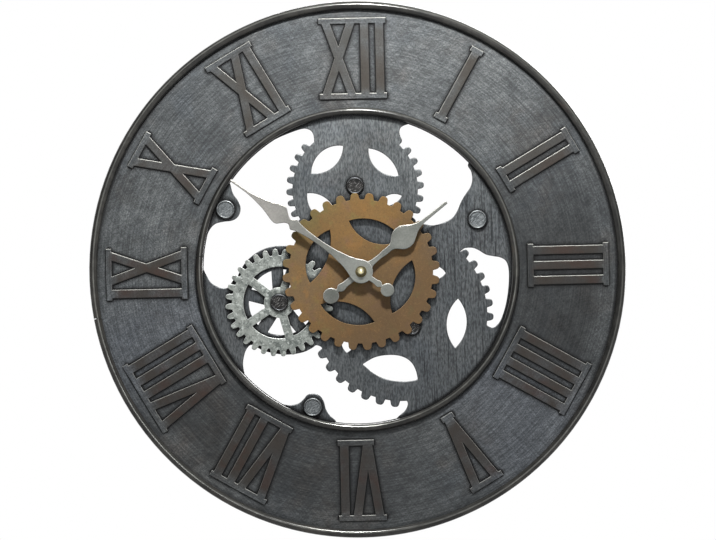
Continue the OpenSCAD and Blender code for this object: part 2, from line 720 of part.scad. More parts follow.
module outer_hoop() {
  color([0.16, 0.16, 0.17])
    place()
      on_dial()
        hoop(outer_hoop_r, outer_rod_d, outer_joint_turn);
}

module inner_hoop() {
  color([0.17, 0.17, 0.18])
    place()
      on_dial()
        hoop(inner_hoop_r, inner_rod_d, inner_joint_turn);
}

module around_rivets() {
  for (i = [0:rivet_count - 1])
    dial_turn(rivet_turn + i * 360 / rivet_count)
      translate([0, inner_hoop_r + rivet_r / 2])
        children();
}

module rivet_holes() {
  around_rivets()
    up(plate_z - overrun, sheet_front - plate_z + 2 * overrun)
      circle(r = rivet_r, $fn = 24);
}

module ring_rivets() {
  color([0.3, 0.3, 0.31])
    place()
      on_dial()
        around_rivets() {
          up(plate_z, sheet_front - plate_z)
            circle(r = rivet_r, $fn = 24);
          up(plate_z - rivet_head_h, rivet_head_h)
            circle(r = rivet_head_r, $fn = 24);
        }
}

// The plate's solid shapes that stand inside the openings.
module plate_gears() {
  translate(top_centre_shares * inner_hoop_r)
    toothed_disc(top_gear_r, plate_tooth_h, top_teeth);
  translate(low_centre_shares * inner_hoop_r)
    toothed_disc(low_gear_r, plate_tooth_h, low_teeth);
  translate(wheel_centre_shares * inner_hoop_r)
    circle(r = wheel_r);
  translate(silver_centre_shares * inner_hoop_r)
    circle(r = wheel_back_r);
  circle(r = middle_r);
}

module opening(shares) {
  difference() {
    intersection() {
      on_dial()
        circle(r = rim_inner_r, $fn = 180);
      polygon(closed_curve(shares * inner_hoop_r));
    }
    plate_gears();
  }
}

module plate_windows() {
  polygon(closed_curve(large_window_shares * inner_hoop_r));
  for (s = leaf_shares)
    leaf([s[0], s[1]] * inner_hoop_r, [s[2], s[3]] * inner_hoop_r, s[4] * inner_hoop_r, s[5] * inner_hoop_r);
  difference() {
    translate(window_centre_shares * inner_hoop_r)
      circle(r = window_r);
    translate(silver_centre_shares * inner_hoop_r) {
      circle(r = plate_hub_r);
      spokes(silver_r, plate_spoke_w, plate_spoke_turn);
    }
  }
}

module skeleton_plate() {
  color([0.33, 0.34, 0.36])
    place()
      difference() {
        up(plate_z, plate_t)
          difference() {
            on_dial()
              circle(r = plate_r, $fn = 180);
            opening(left_opening_shares);
            opening(right_opening_shares);
            opening(slot_shares);
            opening(bottom_opening_shares);
            plate_windows();
            at_shares(gear_bolt_shares)
              circle(d = bolt_d, $fn = 32);
            at_lugs()
              circle(d = bolt_d, $fn = 32);
            circle(r = bush_r, $fn = 48);
          }
        on_dial()
          rivet_holes();
      }
}

module silver_gear() {
  color([0.6, 0.62, 0.6])
    place()
      translate(silver_centre_shares * inner_hoop_r)
        up(silver_z, silver_t)
          difference() {
            union() {
              difference() {
                toothed_disc(silver_r, silver_tooth_h, [[silver_tooth_turn, 360 / silver_teeth, silver_teeth]]);
                circle(r = silver_rim_r);
              }
              circle(r = silver_hub_r);
              spokes(silver_rim_r + silver_tooth_h / 2, silver_spoke_w, silver_spoke_turn);
            }
            circle(d = bolt_d, $fn = 32);
          }
}

module silver_spacer() {
  color([0.5, 0.5, 0.5])
    place()
      translate(silver_centre_shares * inner_hoop_r)
        up(plate_front, silver_spacer_t)
          difference() {
            circle(r = silver_spacer_r);
            circle(d = bolt_d, $fn = 32);
          }
}

module brown_gear() {
  tip = brown_tip_share * brown_r;
  color([0.45, 0.32, 0.2])
    place()
      up(brown_z, brown_t)
        difference() {
          toothed_disc(brown_r, brown_tooth_h, [[brown_tooth_turn, 360 / brown_teeth, brown_teeth]]);
          for (i = [0:3])
            rotate(brown_leaf_turns[i])
              leaf(ray(tip, -brown_leaf_half_turn), ray(tip, brown_leaf_half_turn),
                brown_bulge_shares[i][1] * brown_r, brown_bulge_shares[i][0] * brown_r);
          circle(r = bush_r, $fn = 48);
        }
}

module brown_gear_tube() {
  color([0.3, 0.3, 0.3])
    place()
      up(plate_front, brown_z - plate_front)
        difference() {
          circle(r = brown_tube_r);
          circle(r = bush_r, $fn = 48);
        }
}

// A round bolt head with a rounded edge and a shallow dish, from z = 0 up.
module bolt_head(r, h) {
  difference() {
    rotate_extrude($fn = 48) {
      square([r, h - head_round]);
      square([r - head_round, h]);
      translate([r - head_round, h - head_round])
        intersection() {
          circle(r = head_round, $fn = 24);
          square([head_round, head_round]);
        }
    }
    up(h - dish_h, 2 * dish_h)
      circle(r = r - head_round - dish_rim, $fn = 32);
  }
}

module lug_bolts() {
  color([0.45, 0.46, 0.47])
    place()
      at_lugs() {
        translate([0, 0, plate_front])
          bolt_head(lug_head_r, lug_head_h);
        up(plate_z - bolt_reach, bolt_reach + plate_t)
          circle(d = bolt_d, $fn = 32);
      }
}

module standoff_pillars() {
  color([0.4, 0.4, 0.42])
    place()
      at_lugs()
        difference() {
          up(foot_h, plate_z - foot_h)
            circle(d = pillar_d, $fn = 48);
          up(plate_z - bolt_reach, 2 * bolt_reach)
            circle(d = bolt_d, $fn = 32);
          up(foot_h - foot_stem, 2 * foot_stem)
            circle(d = bolt_d, $fn = 32);
        }
}

module rubber_feet() {
  color([0.06, 0.06, 0.06])
    place()
      at_lugs() {
        up(0, foot_h)
          circle(d = foot_d, $fn = 48);
        up(foot_h, foot_stem)
          circle(d = bolt_d, $fn = 32);
      }
}

// Front face under each gear bolt's head: the middle one clamps the silver gear.
function head_seat(i) = i == 1 ? silver_z + silver_t : plate_front;

module gear_bolts() {
  color([0.08, 0.08, 0.08])
    place()
      for (i = [0:2])
        translate(gear_bolt_shares[i] * inner_hoop_r) {
          translate([0, 0, head_seat(i)])
            bolt_head(gear_head_r, gear_head_h);
          up(plate_z - nut_h - bolt_end, head_seat(i) - plate_z + nut_h + bolt_end)
            circle(d = bolt_d, $fn = 32);
        }
}

module hexagon(w) {
  circle(r = w / sqrt(3), $fn = 6);
}

module gear_bolt_nuts() {
  color([0.5, 0.5, 0.52])
    place()
      at_shares(gear_bolt_shares)
        up(plate_z - nut_h, nut_h)
          difference() {
            hexagon(nut_w);
            circle(d = bolt_d, $fn = 32);
          }
}

// A strip bent into a hat: foot, wall plate with the keyhole, foot.
module hanger_bracket() {
  low = hanger_y - hanger_low;
  high = hanger_y + hanger_high;
  color([0.42, 0.43, 0.45])
    place()
      on_dial()
        difference() {
          union() {
            translate([-hanger_w / 2, low, 0])
              cube([hanger_w, high - low, hanger_t]);
            translate([-hanger_w / 2, low - hanger_t, 0])
              cube([hanger_w, hanger_t, plate_z]);
            translate([-hanger_w / 2, low - hanger_foot, plate_z - hanger_t])
              cube([hanger_w, hanger_foot, hanger_t]);
            translate([-hanger_w / 2, high, 0])
              cube([hanger_w, hanger_t, plate_front]);
            translate([-hanger_w / 2, high, plate_front - hanger_t])
              cube([hanger_w, hanger_foot, hanger_t]);
          }
          translate([0, hanger_y, 0])
            up(-overrun, hanger_t + 2 * overrun) {
              circle(r = keyhole_r, $fn = 64);
              translate([-keyhole_slot_w / 2, 0])
                square([keyhole_slot_w, keyhole_slot_h - keyhole_slot_w / 2]);
              translate([0, keyhole_slot_h - keyhole_slot_w / 2])
                circle(d = keyhole_slot_w, $fn = 32);
            }
        }
}

// Outline of a wheel with n teeth of module m.
function wheel_outline(n, m) =
  [for (i = [0:n - 1])
    for (k = [[-0.30, n / 2 - root_share], [-0.205, n / 2], [-0.09, n / 2 + addendum_share],
      [0.09, n / 2 + addendum_share], [0.205, n / 2], [0.30, n / 2 - root_share]])
      ray(m * k[1], (i + k[0]) * 360 / n)];

// Phase of wheel 2 that meshes with wheel 1, seen from wheel 1 in direction a.
function mesh_turn(a, turn1, n1, n2) = a + 180 + (0.5 + (a - turn1) * n1 / 360) * 360 / n2;

module wheel(n, m, z, h, turn, hole) {
  up(z, h)
    difference() {
      rotate(turn)
        polygon(wheel_outline(n, m));
      circle(r = hole, $fn = 32);
    }
}

motion_turn = mesh_turn(0, 0, cannon_n, motion_n);
hour_wheel_turn = mesh_turn(180, 0, motion_pinion_n, hour_n);
knob_turn = mesh_turn(knob_dir, motion_turn, motion_n, knob_n);
third_pinion_turn = mesh_turn(third_dir, 0, centre_n, pinion_n);
seconds_pinion_turn = mesh_turn(seconds_dir, 0, third_n, pinion_n);
inter_pinion_turn = mesh_turn(inter_dir, 0, seconds_n, pinion_n);
rotor_pinion_turn = mesh_turn(rotor_dir, 0, inter_n, pinion_n);

module corner_posts(z, h) {
  for (sx = [-1, 1])
    for (y = [train_low, case_top - case_wall - post_w])
      translate([sx * (inner_w / 2 - post_w / 2) - post_w / 2, y, z])
        cube([post_w, post_w, h]);
}

module movement_front_case() {
  color([0.07, 0.07, 0.07])
    place() {
      difference() {
        translate([-case_w / 2, case_bottom, cover_in])
          cube([case_w, case_top - case_bottom, case_front - cover_in]);
        translate([-inner_w / 2, train_low, cover_in - overrun])
          cube([inner_w, train_h, front_inner - cover_in + overrun]);
        translate([-inner_w / 2, bay_bottom, cover_in - overrun])
          cube([inner_w, bay_top - bay_bottom, front_inner - cover_in + overrun]);
        up(front_inner - overrun, case_wall + 2 * overrun)
          circle(r = bush_r, $fn = 48);
        translate(motion_at)
          up(front_inner - overrun, case_wall / 2 + overrun)
            circle(r = arbor_r + run_gap, $fn = 24);
      }
      corner_posts(bridge_front, front_inner - bridge_front);
    }
}

module movement_rear_cover() {
  color([0.09, 0.09, 0.09])
    place() {
      difference() {
        translate([-case_w / 2, bay_top, case_z])
          cube([case_w, case_top - bay_top, cover_t]);
        up(cover_in - cover_t / 2, cover_t)
          circle(r = minute_rear_r + run_gap, $fn = 24);
        for (p = [third_at, seconds_at, inter_at, rotor_at])
          translate(p)
            up(cover_in - cover_t / 2, cover_t)
              circle(r = arbor_r + run_gap, $fn = 24);
        translate(knob_at)
          up(case_z - overrun, cover_t + 2 * overrun)
            circle(r = stem_r + run_gap, $fn = 32);
      }
      corner_posts(cover_in, bridge_z - cover_in);
    }
}

module movement_middle_plate() {
  color([0.75, 0.74, 0.7])
    place()
      difference() {
        translate([-inner_w / 2, train_low, bridge_z])
          cube([inner_w, train_h, bridge_t]);
        up(bridge_z - overrun, bridge_t + 2 * overrun)
          circle(r = minute_rear_r + run_gap, $fn = 24);
        for (p = [third_at, seconds_at, inter_at, rotor_at, motion_at])
          translate(p)
            up(bridge_z - overrun, bridge_t + 2 * overrun)
              circle(r = arbor_r + run_gap, $fn = 24);
        translate(knob_at)
          up(bridge_z - overrun, bridge_t + 2 * overrun)
            circle(r = stem_r + run_gap, $fn = 32);
      }
}

module threaded_bush() {
  color([0.72, 0.58, 0.3])
    place()
      difference() {
        union() {
          up(front_inner, bush_end - front_inner)
            circle(r = bush_r, $fn = 48);
          up(front_inner - bush_flange_t, bush_flange_t)
            circle(r = bush_flange_r, $fn = 48);
        }
        up(front_inner - bush_flange_t - overrun, bush_end - front_inner + bush_flange_t + 2 * overrun)
          circle(r = hour_pipe_r + run_gap, $fn = 48);
      }
}

module rubber_washer() {
  color([0.05, 0.05, 0.05])
    place()
      up(case_front, rubber_t)
        difference() {
          circle(r = rubber_r);
          circle(r = bush_r, $fn = 48);
        }
}

module brass_washer() {
  color([0.75, 0.6, 0.3])
    place()
      up(brown_front, washer_t)
        difference() {
          circle(r = washer_r);
          circle(r = bush_r, $fn = 48);
        }
}

module hex_nut() {
  color([0.75, 0.6, 0.3])
    place()
      up(brown_front + washer_t, hex_h)
        difference() {
          hexagon(hex_w);
          circle(r = bush_r, $fn = 48);
        }
}

// Turns a drawing along z into one along x, in the middle of the battery bay.
cell_y = (bay_top + bay_bottom) / 2;
cell_z = front_inner - run_gap - cell_d / 2;
module in_bay(x) {
  translate([x, cell_y, cell_z])
    rotate([0, 90, 0])
      children();
}

module battery() {
  color([0.15, 0.2, 0.3])
    place()
      in_bay(-cell_len / 2 - cell_nub_h / 2) {
        cylinder(d = cell_d, h = cell_len, $fn = 64);
        up(cell_len, cell_nub_h)
          circle(r = cell_nub_r, $fn = 32);
      }
}

// Contact plate at one end of the bay with a dimple that touches the battery.
module contact(side) {
  place()
    translate([side * inner_w / 2, 0, 0])
      mirror([side > 0 ? 1 : 0, 0, 0])
        in_bay(0) {
          translate([-contact_w / 2, -contact_w / 2, 0])
            cube([contact_w, contact_w, contact_t]);
          cylinder(r = cell_nub_r, h = contact_reach, $fn = 32);
        }
}

module plus_contact() {
  color([0.8, 0.8, 0.78])
    contact(1);
}

module minus_contact() {
  color([0.8, 0.8, 0.78])
    contact(-1);
}

board_x = -inner_w / 2 + free_gap;
board_y = case_top - case_wall - post_w - free_gap - board_h;

module circuit_board() {
  color([0.1, 0.35, 0.2])
    place()
      translate([board_x, board_y, cover_in])
        cube([board_w, board_h, board_t]);
}

module chip() {
  color([0.03, 0.03, 0.03])
    place()
      translate([board_x + chip_w / 2, board_y + chip_w / 3, cover_in + board_t])
        cube([chip_w, chip_w, chip_t]);
}

module quartz_crystal() {
  color([0.7, 0.7, 0.7])
    place()
      translate([board_x + chip_w / 2, board_y + board_h - crystal_d, cover_in + board_t + crystal_d / 2])
        rotate([0, 90, 0])
          cylinder(d = crystal_d, h = crystal_len, $fn = 24);
}

// The coil lies along x above the rotor.
coil_x = rotor_at[0] - coil_len / 2 - bobbin_t;
module along_coil(x) {
  translate([x, coil_y, coil_z])
    rotate([0, 90, 0])
      children();
}

module coil_bobbin() {
  color([0.85, 0.85, 0.8])
    place()
      difference() {
        union() {
          along_coil(coil_x)
            cylinder(r = bobbin_r, h = bobbin_t, $fn = 40);
          along_coil(coil_x + bobbin_t + coil_len)
            cylinder(r = bobbin_r, h = bobbin_t, $fn = 40);
          along_coil(coil_x)
            cylinder(r = coil_core_r, h = coil_len + 2 * bobbin_t, $fn = 32);
        }
        translate([coil_x - bobbin_t, coil_y - stator_t / 2, coil_z - stator_t / 2])
          cube([coil_len + 4 * bobbin_t, stator_t, stator_t]);
      }
}

module coil_winding() {
  color([0.7, 0.35, 0.15])
    place()
      difference() {
        along_coil(coil_x + bobbin_t)
          cylinder(r = coil_r, h = coil_len, $fn = 40);
        along_coil(coil_x)
          cylinder(r = coil_core_r, h = coil_len + 2 * bobbin_t, $fn = 32);
      }
}

// Soft iron loop: a bar through the bobbin, two legs and a pole plate round the rotor.
module stator() {
  left = inter_at[0] - arbor_r - free_gap - stator_w;
  right = coil_x + coil_len + 2 * bobbin_t;
  low = rotor_at[1] - stator_w / 2;
  color([0.55, 0.56, 0.58])
    place() {
      translate([left, coil_y - stator_t / 2, coil_z - stator_t / 2])
        cube([right - left + stator_w, stator_t, stator_t]);
      difference() {
        union() {
          for (x = [left, right])
            translate([x, low, coil_z - stator_t / 2])
              cube([stator_w, coil_y + stator_t / 2 - low, stator_t]);
          translate([left, low, coil_z - stator_t / 2])
            cube([right - left + stator_w, stator_w, stator_t]);
          translate(rotor_at)
            up(coil_z - stator_t / 2, stator_t)
              circle(r = stator_hole_r + stator_w / 2, $fn = 40);
        }
        translate(rotor_at)
          up(coil_z - stator_t, 2 * stator_t)
            circle(r = stator_hole_r, $fn = 40);
        translate(inter_at)
          up(coil_z - stator_t, 2 * stator_t)
            circle(r = arbor_r + free_gap, $fn = 32);
      }
    }
}

// A plain arbor from the rear cover to the middle plate.
module train_arbor() {
  up(cover_in - cover_t / 2 + run_gap, bridge_front - cover_in + cover_t / 2 - run_gap)
    circle(r = arbor_r, $fn = 24);
}

module rotor() {
  color([0.25, 0.25, 0.27])
    place()
      translate(rotor_at) {
        train_arbor();
        up(coil_z - magnet_h / 2, magnet_h)
          circle(r = magnet_r, $fn = 40);
        wheel(pinion_n, rotor_module, inter_wheel_z - pinion_rise, pinion_t, rotor_pinion_turn, 0);
      }
}

module intermediate_wheel() {
  color([0.85, 0.83, 0.78])
    place()
      translate(inter_at) {
        train_arbor();
        wheel(inter_n, rotor_module, inter_wheel_z, wheel_t, 0, 0);
        wheel(pinion_n, seconds_module, seconds_wheel_z - pinion_rise, pinion_t, inter_pinion_turn, 0);
      }
}

module seconds_wheel() {
  color([0.85, 0.83, 0.78])
    place()
      translate(seconds_at) {
        train_arbor();
        wheel(seconds_n, seconds_module, seconds_wheel_z, wheel_t, 0, 0);
        wheel(pinion_n, train_module, third_wheel_z - pinion_rise, pinion_t, seconds_pinion_turn, 0);
      }
}

module third_wheel() {
  color([0.85, 0.83, 0.78])
    place()
      translate(third_at) {
        train_arbor();
        wheel(third_n, train_module, third_wheel_z, wheel_t, 0, 0);
        wheel(pinion_n, train_module, centre_wheel_z - pinion_rise, pinion_t, third_pinion_turn, 0);
      }
}

module centre_wheel() {
  color([0.8, 0.66, 0.35])
    place()
      wheel(centre_n, train_module, centre_wheel_z, wheel_t, 0, minute_rear_r + run_gap);
}

module motion_wheel() {
  color([0.85, 0.83, 0.78])
    place()
      translate(motion_at) {
        up(bridge_z + run_gap, front_inner + case_wall / 2 - run_gap - bridge_z)
          circle(r = arbor_r, $fn = 24);
        wheel(motion_n, minute_module, motion_wheel_z, wheel_t, motion_turn, 0);
        wheel(motion_pinion_n, hour_module, motion_wheel_z, motion_pinion_z + pinion_t - motion_wheel_z, 0, 0);
      }
}

module minute_arbor() {
  color([0.75, 0.6, 0.32])
    place() {
      up(cover_in - cover_t / 2 + run_gap, cannon_z - cover_in + cover_t / 2 - run_gap)
        circle(r = minute_rear_r, $fn = 32);
      wheel(cannon_n, minute_module, cannon_z, pinion_t, 0, 0);
      up(cannon_z, minute_z - cannon_z)
        circle(r = minute_arbor_r, $fn = 32);
      up(minute_z, hand_t + cap_flange_h + cap_wall_h)
        circle(r = minute_stud_r, $fn = 32);
    }
}

module hour_wheel() {
  color([0.85, 0.83, 0.78])
    place() {
      wheel(hour_n, hour_module, hour_wheel_z, wheel_t, hour_wheel_turn, minute_arbor_r + run_gap);
      up(hour_wheel_z, hour_z + hand_t - hour_wheel_z)
        difference() {
          circle(r = hour_pipe_r, $fn = 48);
          circle(r = minute_arbor_r + run_gap, $fn = 32);
        }
    }
}

module setting_knob() {
  color([0.12, 0.12, 0.12])
    place()
      translate(knob_at) {
        up(case_z - free_gap - knob_h, knob_h)
          circle(r = knob_r, $fn = 24);
        up(case_z - free_gap - knob_h, cannon_z - case_z + free_gap + knob_h)
          circle(r = stem_r, $fn = 32);
        wheel(knob_n, minute_module, cannon_z, pinion_t, knob_turn, 0);
      }
}

// A strip along y whose half widths are given from its foot to its tip.
module both_sides(side) {
  n = len(side) - 1;
  polygon(concat([for (p = side) [p[1], p[0]]], [for (i = [0:n]) [-side[n - i][1], side[n - i][0]]]));
}

// A flat hand that points to 12, from a table of half widths, with a tail and a counterweight.
module hand(len, shape, weight_at, weight_r, hole) {
  difference() {
    union() {
      circle(r = hand_hub_r, $fn = 64);
      both_sides(open_curve(shape * len));
      rotate(180)
        both_sides(open_curve(tail_shares * weight_at));
      translate([0, -weight_at])
        circle(r = weight_r, $fn = 48);
    }
    circle(r = hole, $fn = 48);
  }
}

module hour_hand() {
  color([0.62, 0.64, 0.64])
    place()
      up(hour_z, hand_t)
        rotate(-hour_turn)
          hand(hour_len, hour_shape_shares, hour_weight_at, hour_weight_r, hour_pipe_r);
}

module minute_hand() {
  color([0.62, 0.64, 0.64])
    place()
      up(minute_z, hand_t)
        rotate(-minute_turn)
          hand(minute_len, minute_shape_shares, minute_weight_at, minute_weight_r, minute_stud_r);
}

module cap_nut() {
  top = cap_flange_h + cap_wall_h;
  color([0.82, 0.7, 0.4])
    place()
      translate([0, 0, minute_z + hand_t])
        difference() {
          rotate_extrude($fn = 48) {
            square([cap_flange_r, cap_flange_h]);
            square([cap_dome_r, top]);
            translate([0, top])
              intersection() {
                circle(r = cap_dome_r, $fn = 48);
                square([cap_dome_r, cap_dome_r]);
              }
          }
          up(-top, 2 * top)
            circle(r = minute_stud_r, $fn = 32);
        }
}

dial_ring();
outer_hoop();
inner_hoop();
ring_rivets();
skeleton_plate();
silver_gear();
silver_spacer();
brown_gear();
brown_gear_tube();
lug_bolts();
standoff_pillars();
rubber_feet();
gear_bolts();
gear_bolt_nuts();
hanger_bracket();
movement_front_case();
movement_rear_cover();
movement_middle_plate();
threaded_bush();
rubber_washer();
brass_washer();
hex_nut();
battery();
plus_contact();
minus_contact();
circuit_board();
chip();
quartz_crystal();
coil_bobbin();
coil_winding();
stator();
rotor();
intermediate_wheel();
seconds_wheel();
third_wheel();
centre_wheel();
motion_wheel();
minute_arbor();
hour_wheel();
setting_knob();
hour_hand();
minute_hand();
cap_nut();
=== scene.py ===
# Looks of the gear wall clock: materials, soft edges, lights and camera over the fixed CAD frame.
import json
import math

import bpy
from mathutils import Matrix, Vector

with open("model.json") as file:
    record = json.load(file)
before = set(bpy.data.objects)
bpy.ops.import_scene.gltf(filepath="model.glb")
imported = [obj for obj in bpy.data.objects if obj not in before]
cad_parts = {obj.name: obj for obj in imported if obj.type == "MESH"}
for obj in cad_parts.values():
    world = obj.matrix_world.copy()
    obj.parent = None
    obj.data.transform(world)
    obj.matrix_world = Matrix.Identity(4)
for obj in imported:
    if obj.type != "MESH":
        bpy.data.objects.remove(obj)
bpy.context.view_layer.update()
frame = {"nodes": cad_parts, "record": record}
nodes = frame["nodes"]

# Lengths are in metres, in the shared frame: the keyhole is the origin, +Z is up and the front looks to -Y.
# The spindle, and the height of the dial ring's middle, which lies at X = 0.
HUB_X = 0.0026
HUB_Z = -0.1357
RING_Z = -0.134
# A radius between the two hoops, and a plane before the sheet that only the raised numerals reach.
BETWEEN_HOOPS = 0.155
NUMERALS_BEFORE = -0.02385
# Where the lamps look.
DIAL_FRONT = Vector((0.0, -0.026, RING_Z))
# Samples of each rounded edge and each search for a crease.
EDGE_SAMPLES = 6
# Coordinates by number, and the sockets of a Mix node that mixes colours.
X, Y, Z = 0, 1, 2
MIX_A, MIX_B, MIX_OUT = 6, 7, 2


def rgb(r, g, b):
    """Linear colour of an sRGB colour given from 0 to 255."""
    return tuple(((c / 255 + 0.055) / 1.055) ** 2.4 if c > 10 else c / 255 / 12.92 for c in (r, g, b))


def feed(tree, value, socket):
    """Links a socket to another node's output, or sets it to a colour or a number."""
    if isinstance(value, bpy.types.NodeSocket):
        tree.links.new(value, socket)
    elif socket.type == "RGBA":
        socket.default_value = (*value, 1.0)
    else:
        socket.default_value = value


def calc(tree, op, a, b=0.0, clamp=False):
    """One maths node on two values."""
    n = tree.nodes.new("ShaderNodeMath")
    n.operation = op
    n.use_clamp = clamp
    feed(tree, a, n.inputs[0])
    feed(tree, b, n.inputs[1])
    return n.outputs[0]


class Look:
    """A node material around one Principled shader, with short calls for its textures."""

    def __init__(self, name, metallic=0.0, rough=0.5, spec=0.5, coat=0.0, coat_rough=0.1):
        self.mat = bpy.data.materials.new(name)
        self.mat.use_nodes = True
        self.tree = self.mat.node_tree
        self.shader = self.tree.nodes["Principled BSDF"]
        self.shader.inputs["Metallic"].default_value = metallic
        self.shader.inputs["Roughness"].default_value = rough
        self.shader.inputs["Specular IOR Level"].default_value = spec
        self.shader.inputs["Coat Weight"].default_value = coat
        self.shader.inputs["Coat Roughness"].default_value = coat_rough
        self.coords = self.tree.nodes.new("ShaderNodeTexCoord").outputs["Object"]

    def link(self, value, socket):
        feed(self.tree, value, socket)

    def math(self, op, a, b=0.0, clamp=False):
        return calc(self.tree, op, a, b, clamp)

    def plus(self, a, b):
        return self.math("ADD", a, b)

    def minus(self, a, b):
        return self.math("SUBTRACT", a, b)

    def times(self, a, b):
        return self.math("MULTIPLY", a, b)

    def spread(self, value, low, high, to_low=0.0, to_high=1.0):
        """Takes a value from low..high smoothly to to_low..to_high."""
        n = self.tree.nodes.new("ShaderNodeMapRange")
        n.interpolation_type = "SMOOTHSTEP"
        self.link(value, n.inputs["Value"])
        for key, v in (("From Min", low), ("From Max", high), ("To Min", to_low), ("To Max", to_high)):
            self.link(v, n.inputs[key])
        return n.outputs[0]

    def mix(self, share, a, b, mode="MIX"):
        """Colour a, with a share of colour b over it."""
        n = self.tree.nodes.new("ShaderNodeMix")
        n.data_type = "RGBA"
        n.blend_type = mode
        self.link(share, n.inputs[0])
        self.link(a, n.inputs[MIX_A])
        self.link(b, n.inputs[MIX_B])
        return n.outputs[MIX_OUT]

    def dimmed(self, color, tone):
        """The colour times a tone."""
        return self.mix(1.0, color, rgb(*tone), "MULTIPLY")

    def mapped(self, scale=(1, 1, 1), rot=(0, 0, 0), shift=(0, 0, 0)):
        """Texture coordinates with a scale, turn and shift of their own."""
        n = self.tree.nodes.new("ShaderNodeMapping")
        self.link(self.coords, n.inputs["Vector"])
        n.inputs["Location"].default_value = shift
        n.inputs["Rotation"].default_value = rot
        n.inputs["Scale"].default_value = scale
        return n.outputs[0]

    def noise(self, scale, detail=3.0, rough=0.55, distort=0.0, vector=None):
        n = self.tree.nodes.new("ShaderNodeTexNoise")
        self.link(self.coords if vector is None else vector, n.inputs["Vector"])
        n.inputs["Scale"].default_value = scale
        n.inputs["Detail"].default_value = detail
        n.inputs["Roughness"].default_value = rough
        n.inputs["Distortion"].default_value = distort
        return n.outputs["Fac"]

    def brushing(self, turn, fine, length, shift=0.0):
        """Streak noise along one direction in the plane of the dial, fine marks a metre across it."""
        n = self.tree.nodes.new("ShaderNodeMapping")
        n.vector_type = "TEXTURE"
        self.link(self.coords, n.inputs["Vector"])
        n.inputs["Location"].default_value = (shift, 0, 0)
        n.inputs["Rotation"].default_value = (0, turn, 0)
        n.inputs["Scale"].default_value = (1 / fine, 1, length / fine)
        return self.noise(1, 3, 0.6, vector=n.outputs[0])

    def ringed(self, fine, length):
        """Streak noise round the ring's middle, fine marks a metre across it."""
        r = self.radius()
        along = 0.15 * fine / length
        rise = self.minus(self.axis(Z), RING_Z)
        n = self.tree.nodes.new("ShaderNodeCombineXYZ")
        self.link(self.times(self.math("DIVIDE", self.axis(X), r), along), n.inputs[X])
        self.link(self.times(r, fine), n.inputs[Y])
        self.link(self.times(self.math("DIVIDE", rise, r), along), n.inputs[Z])
        return self.noise(1, 4, 0.65, vector=n.outputs[0])

    def axis(self, i, vector=None):
        """One coordinate of the surface point, or of a vector where one is given."""
        n = self.tree.nodes.new("ShaderNodeSeparateXYZ")
        self.link(self.coords if vector is None else vector, n.inputs[0])
        return n.outputs[i]

    def radius(self, x=0.0, z=RING_Z):
        """Distance from a line along Y."""
        dx = self.minus(self.axis(X), x)
        dz = self.minus(self.axis(Z), z)
        return self.math("SQRT", self.plus(self.times(dx, dx), self.times(dz, dz)))

    def turn(self):
        """Angle round the ring's middle, in radians: 0 at three o'clock, more towards twelve."""
        return self.math("ARCTAN2", self.minus(self.axis(Z), RING_Z), self.axis(X))

    def skyward(self):
        """How far the way out from the ring's middle points to the light: 1 at the top and -1 below."""
        rise = self.minus(self.axis(Z), RING_Z)
        towards = self.plus(self.times(self.axis(X), 0.3), self.times(rise, 0.95))
        return self.math("DIVIDE", towards, self.radius())

    def normal(self):
        """The piece's own normal, in its own frame."""
        return self.tree.nodes.new("ShaderNodeTexCoord").outputs["Normal"]

    def facing(self):
        """1 on surfaces that face the front, 0 on sides and backs."""
        return self.math("MULTIPLY", self.axis(Y, self.normal()), -1.0, clamp=True)

    def aside(self):
        """0 on surfaces that face the front, 1 on sides and backs."""
        return self.minus(1.0, self.facing())

    def nook(self, distance):
        """1 in a crease and 0 where the surface is open."""
        n = self.tree.nodes.new("ShaderNodeAmbientOcclusion")
        n.inputs["Distance"].default_value = distance
        n.samples = EDGE_SAMPLES
        return self.math("SUBTRACT", 1.0, n.outputs["AO"], clamp=True)

    def soft_edge(self, radius):
        """A normal that rounds every edge by a small radius."""
        n = self.tree.nodes.new("ShaderNodeBevel")
        n.samples = EDGE_SAMPLES
        n.inputs["Radius"].default_value = radius
        return n.outputs[0]

    def crease_shade_and_grime(self, color, tone, distance, low, high, share):
        """Painted shade in creases, with the dirt that gathers there."""
        return self.mix(self.spread(self.nook(distance), low, high, 0.0, share), color, rgb(*tone))

    def wear(self, color, rounded, tone, share):
        """Rubbed or stained edges, where the rounded normal leaves the face's own, broken up by noise."""
        n = self.tree.nodes.new("ShaderNodeVectorMath")
        n.operation = "DOT_PRODUCT"
        self.link(rounded, n.inputs[0])
        self.link(self.tree.nodes.new("ShaderNodeNewGeometry").outputs["Normal"], n.inputs[1])
        where = self.spread(self.minus(1.0, n.outputs["Value"]), 0.008, 0.1, 0.0, share)
        broken = self.spread(self.noise(190, 4, 0.7), 0.3, 0.55, 0.35, 1.0)
        return self.mix(self.times(where, broken), color, rgb(*tone))

    def painted_edge_light(self, color, rounded, pale, dark, share):
        """Painted highlight on edges that look up, and painted shade on edges that look down."""
        up = self.axis(Z, rounded)
        color = self.mix(self.spread(up, 0.07, 0.38, 0.0, share), color, rgb(*pale))
        return self.mix(self.spread(up, -0.38, -0.07, share, 0.0), color, rgb(*dark))

    def bump(self, height, strength, distance, base=None):
        """The normal roughened by a height, over an earlier normal where one is given."""
        n = self.tree.nodes.new("ShaderNodeBump")
        n.inputs["Strength"].default_value = strength
        n.inputs["Distance"].default_value = distance
        self.link(height, n.inputs["Height"])
        if base is not None:
            self.link(base, n.inputs["Normal"])
        return n.outputs[0]

    def done(self, color, rough, normal):
        """Links the finished maps to the shader, where None keeps the shader's own value."""
        self.link(color, self.shader.inputs["Base Color"])
        if rough is not None:
            self.link(rough, self.shader.inputs["Roughness"])
        if normal is not None:
            self.link(normal, self.shader.inputs["Normal"])
        return self.mat


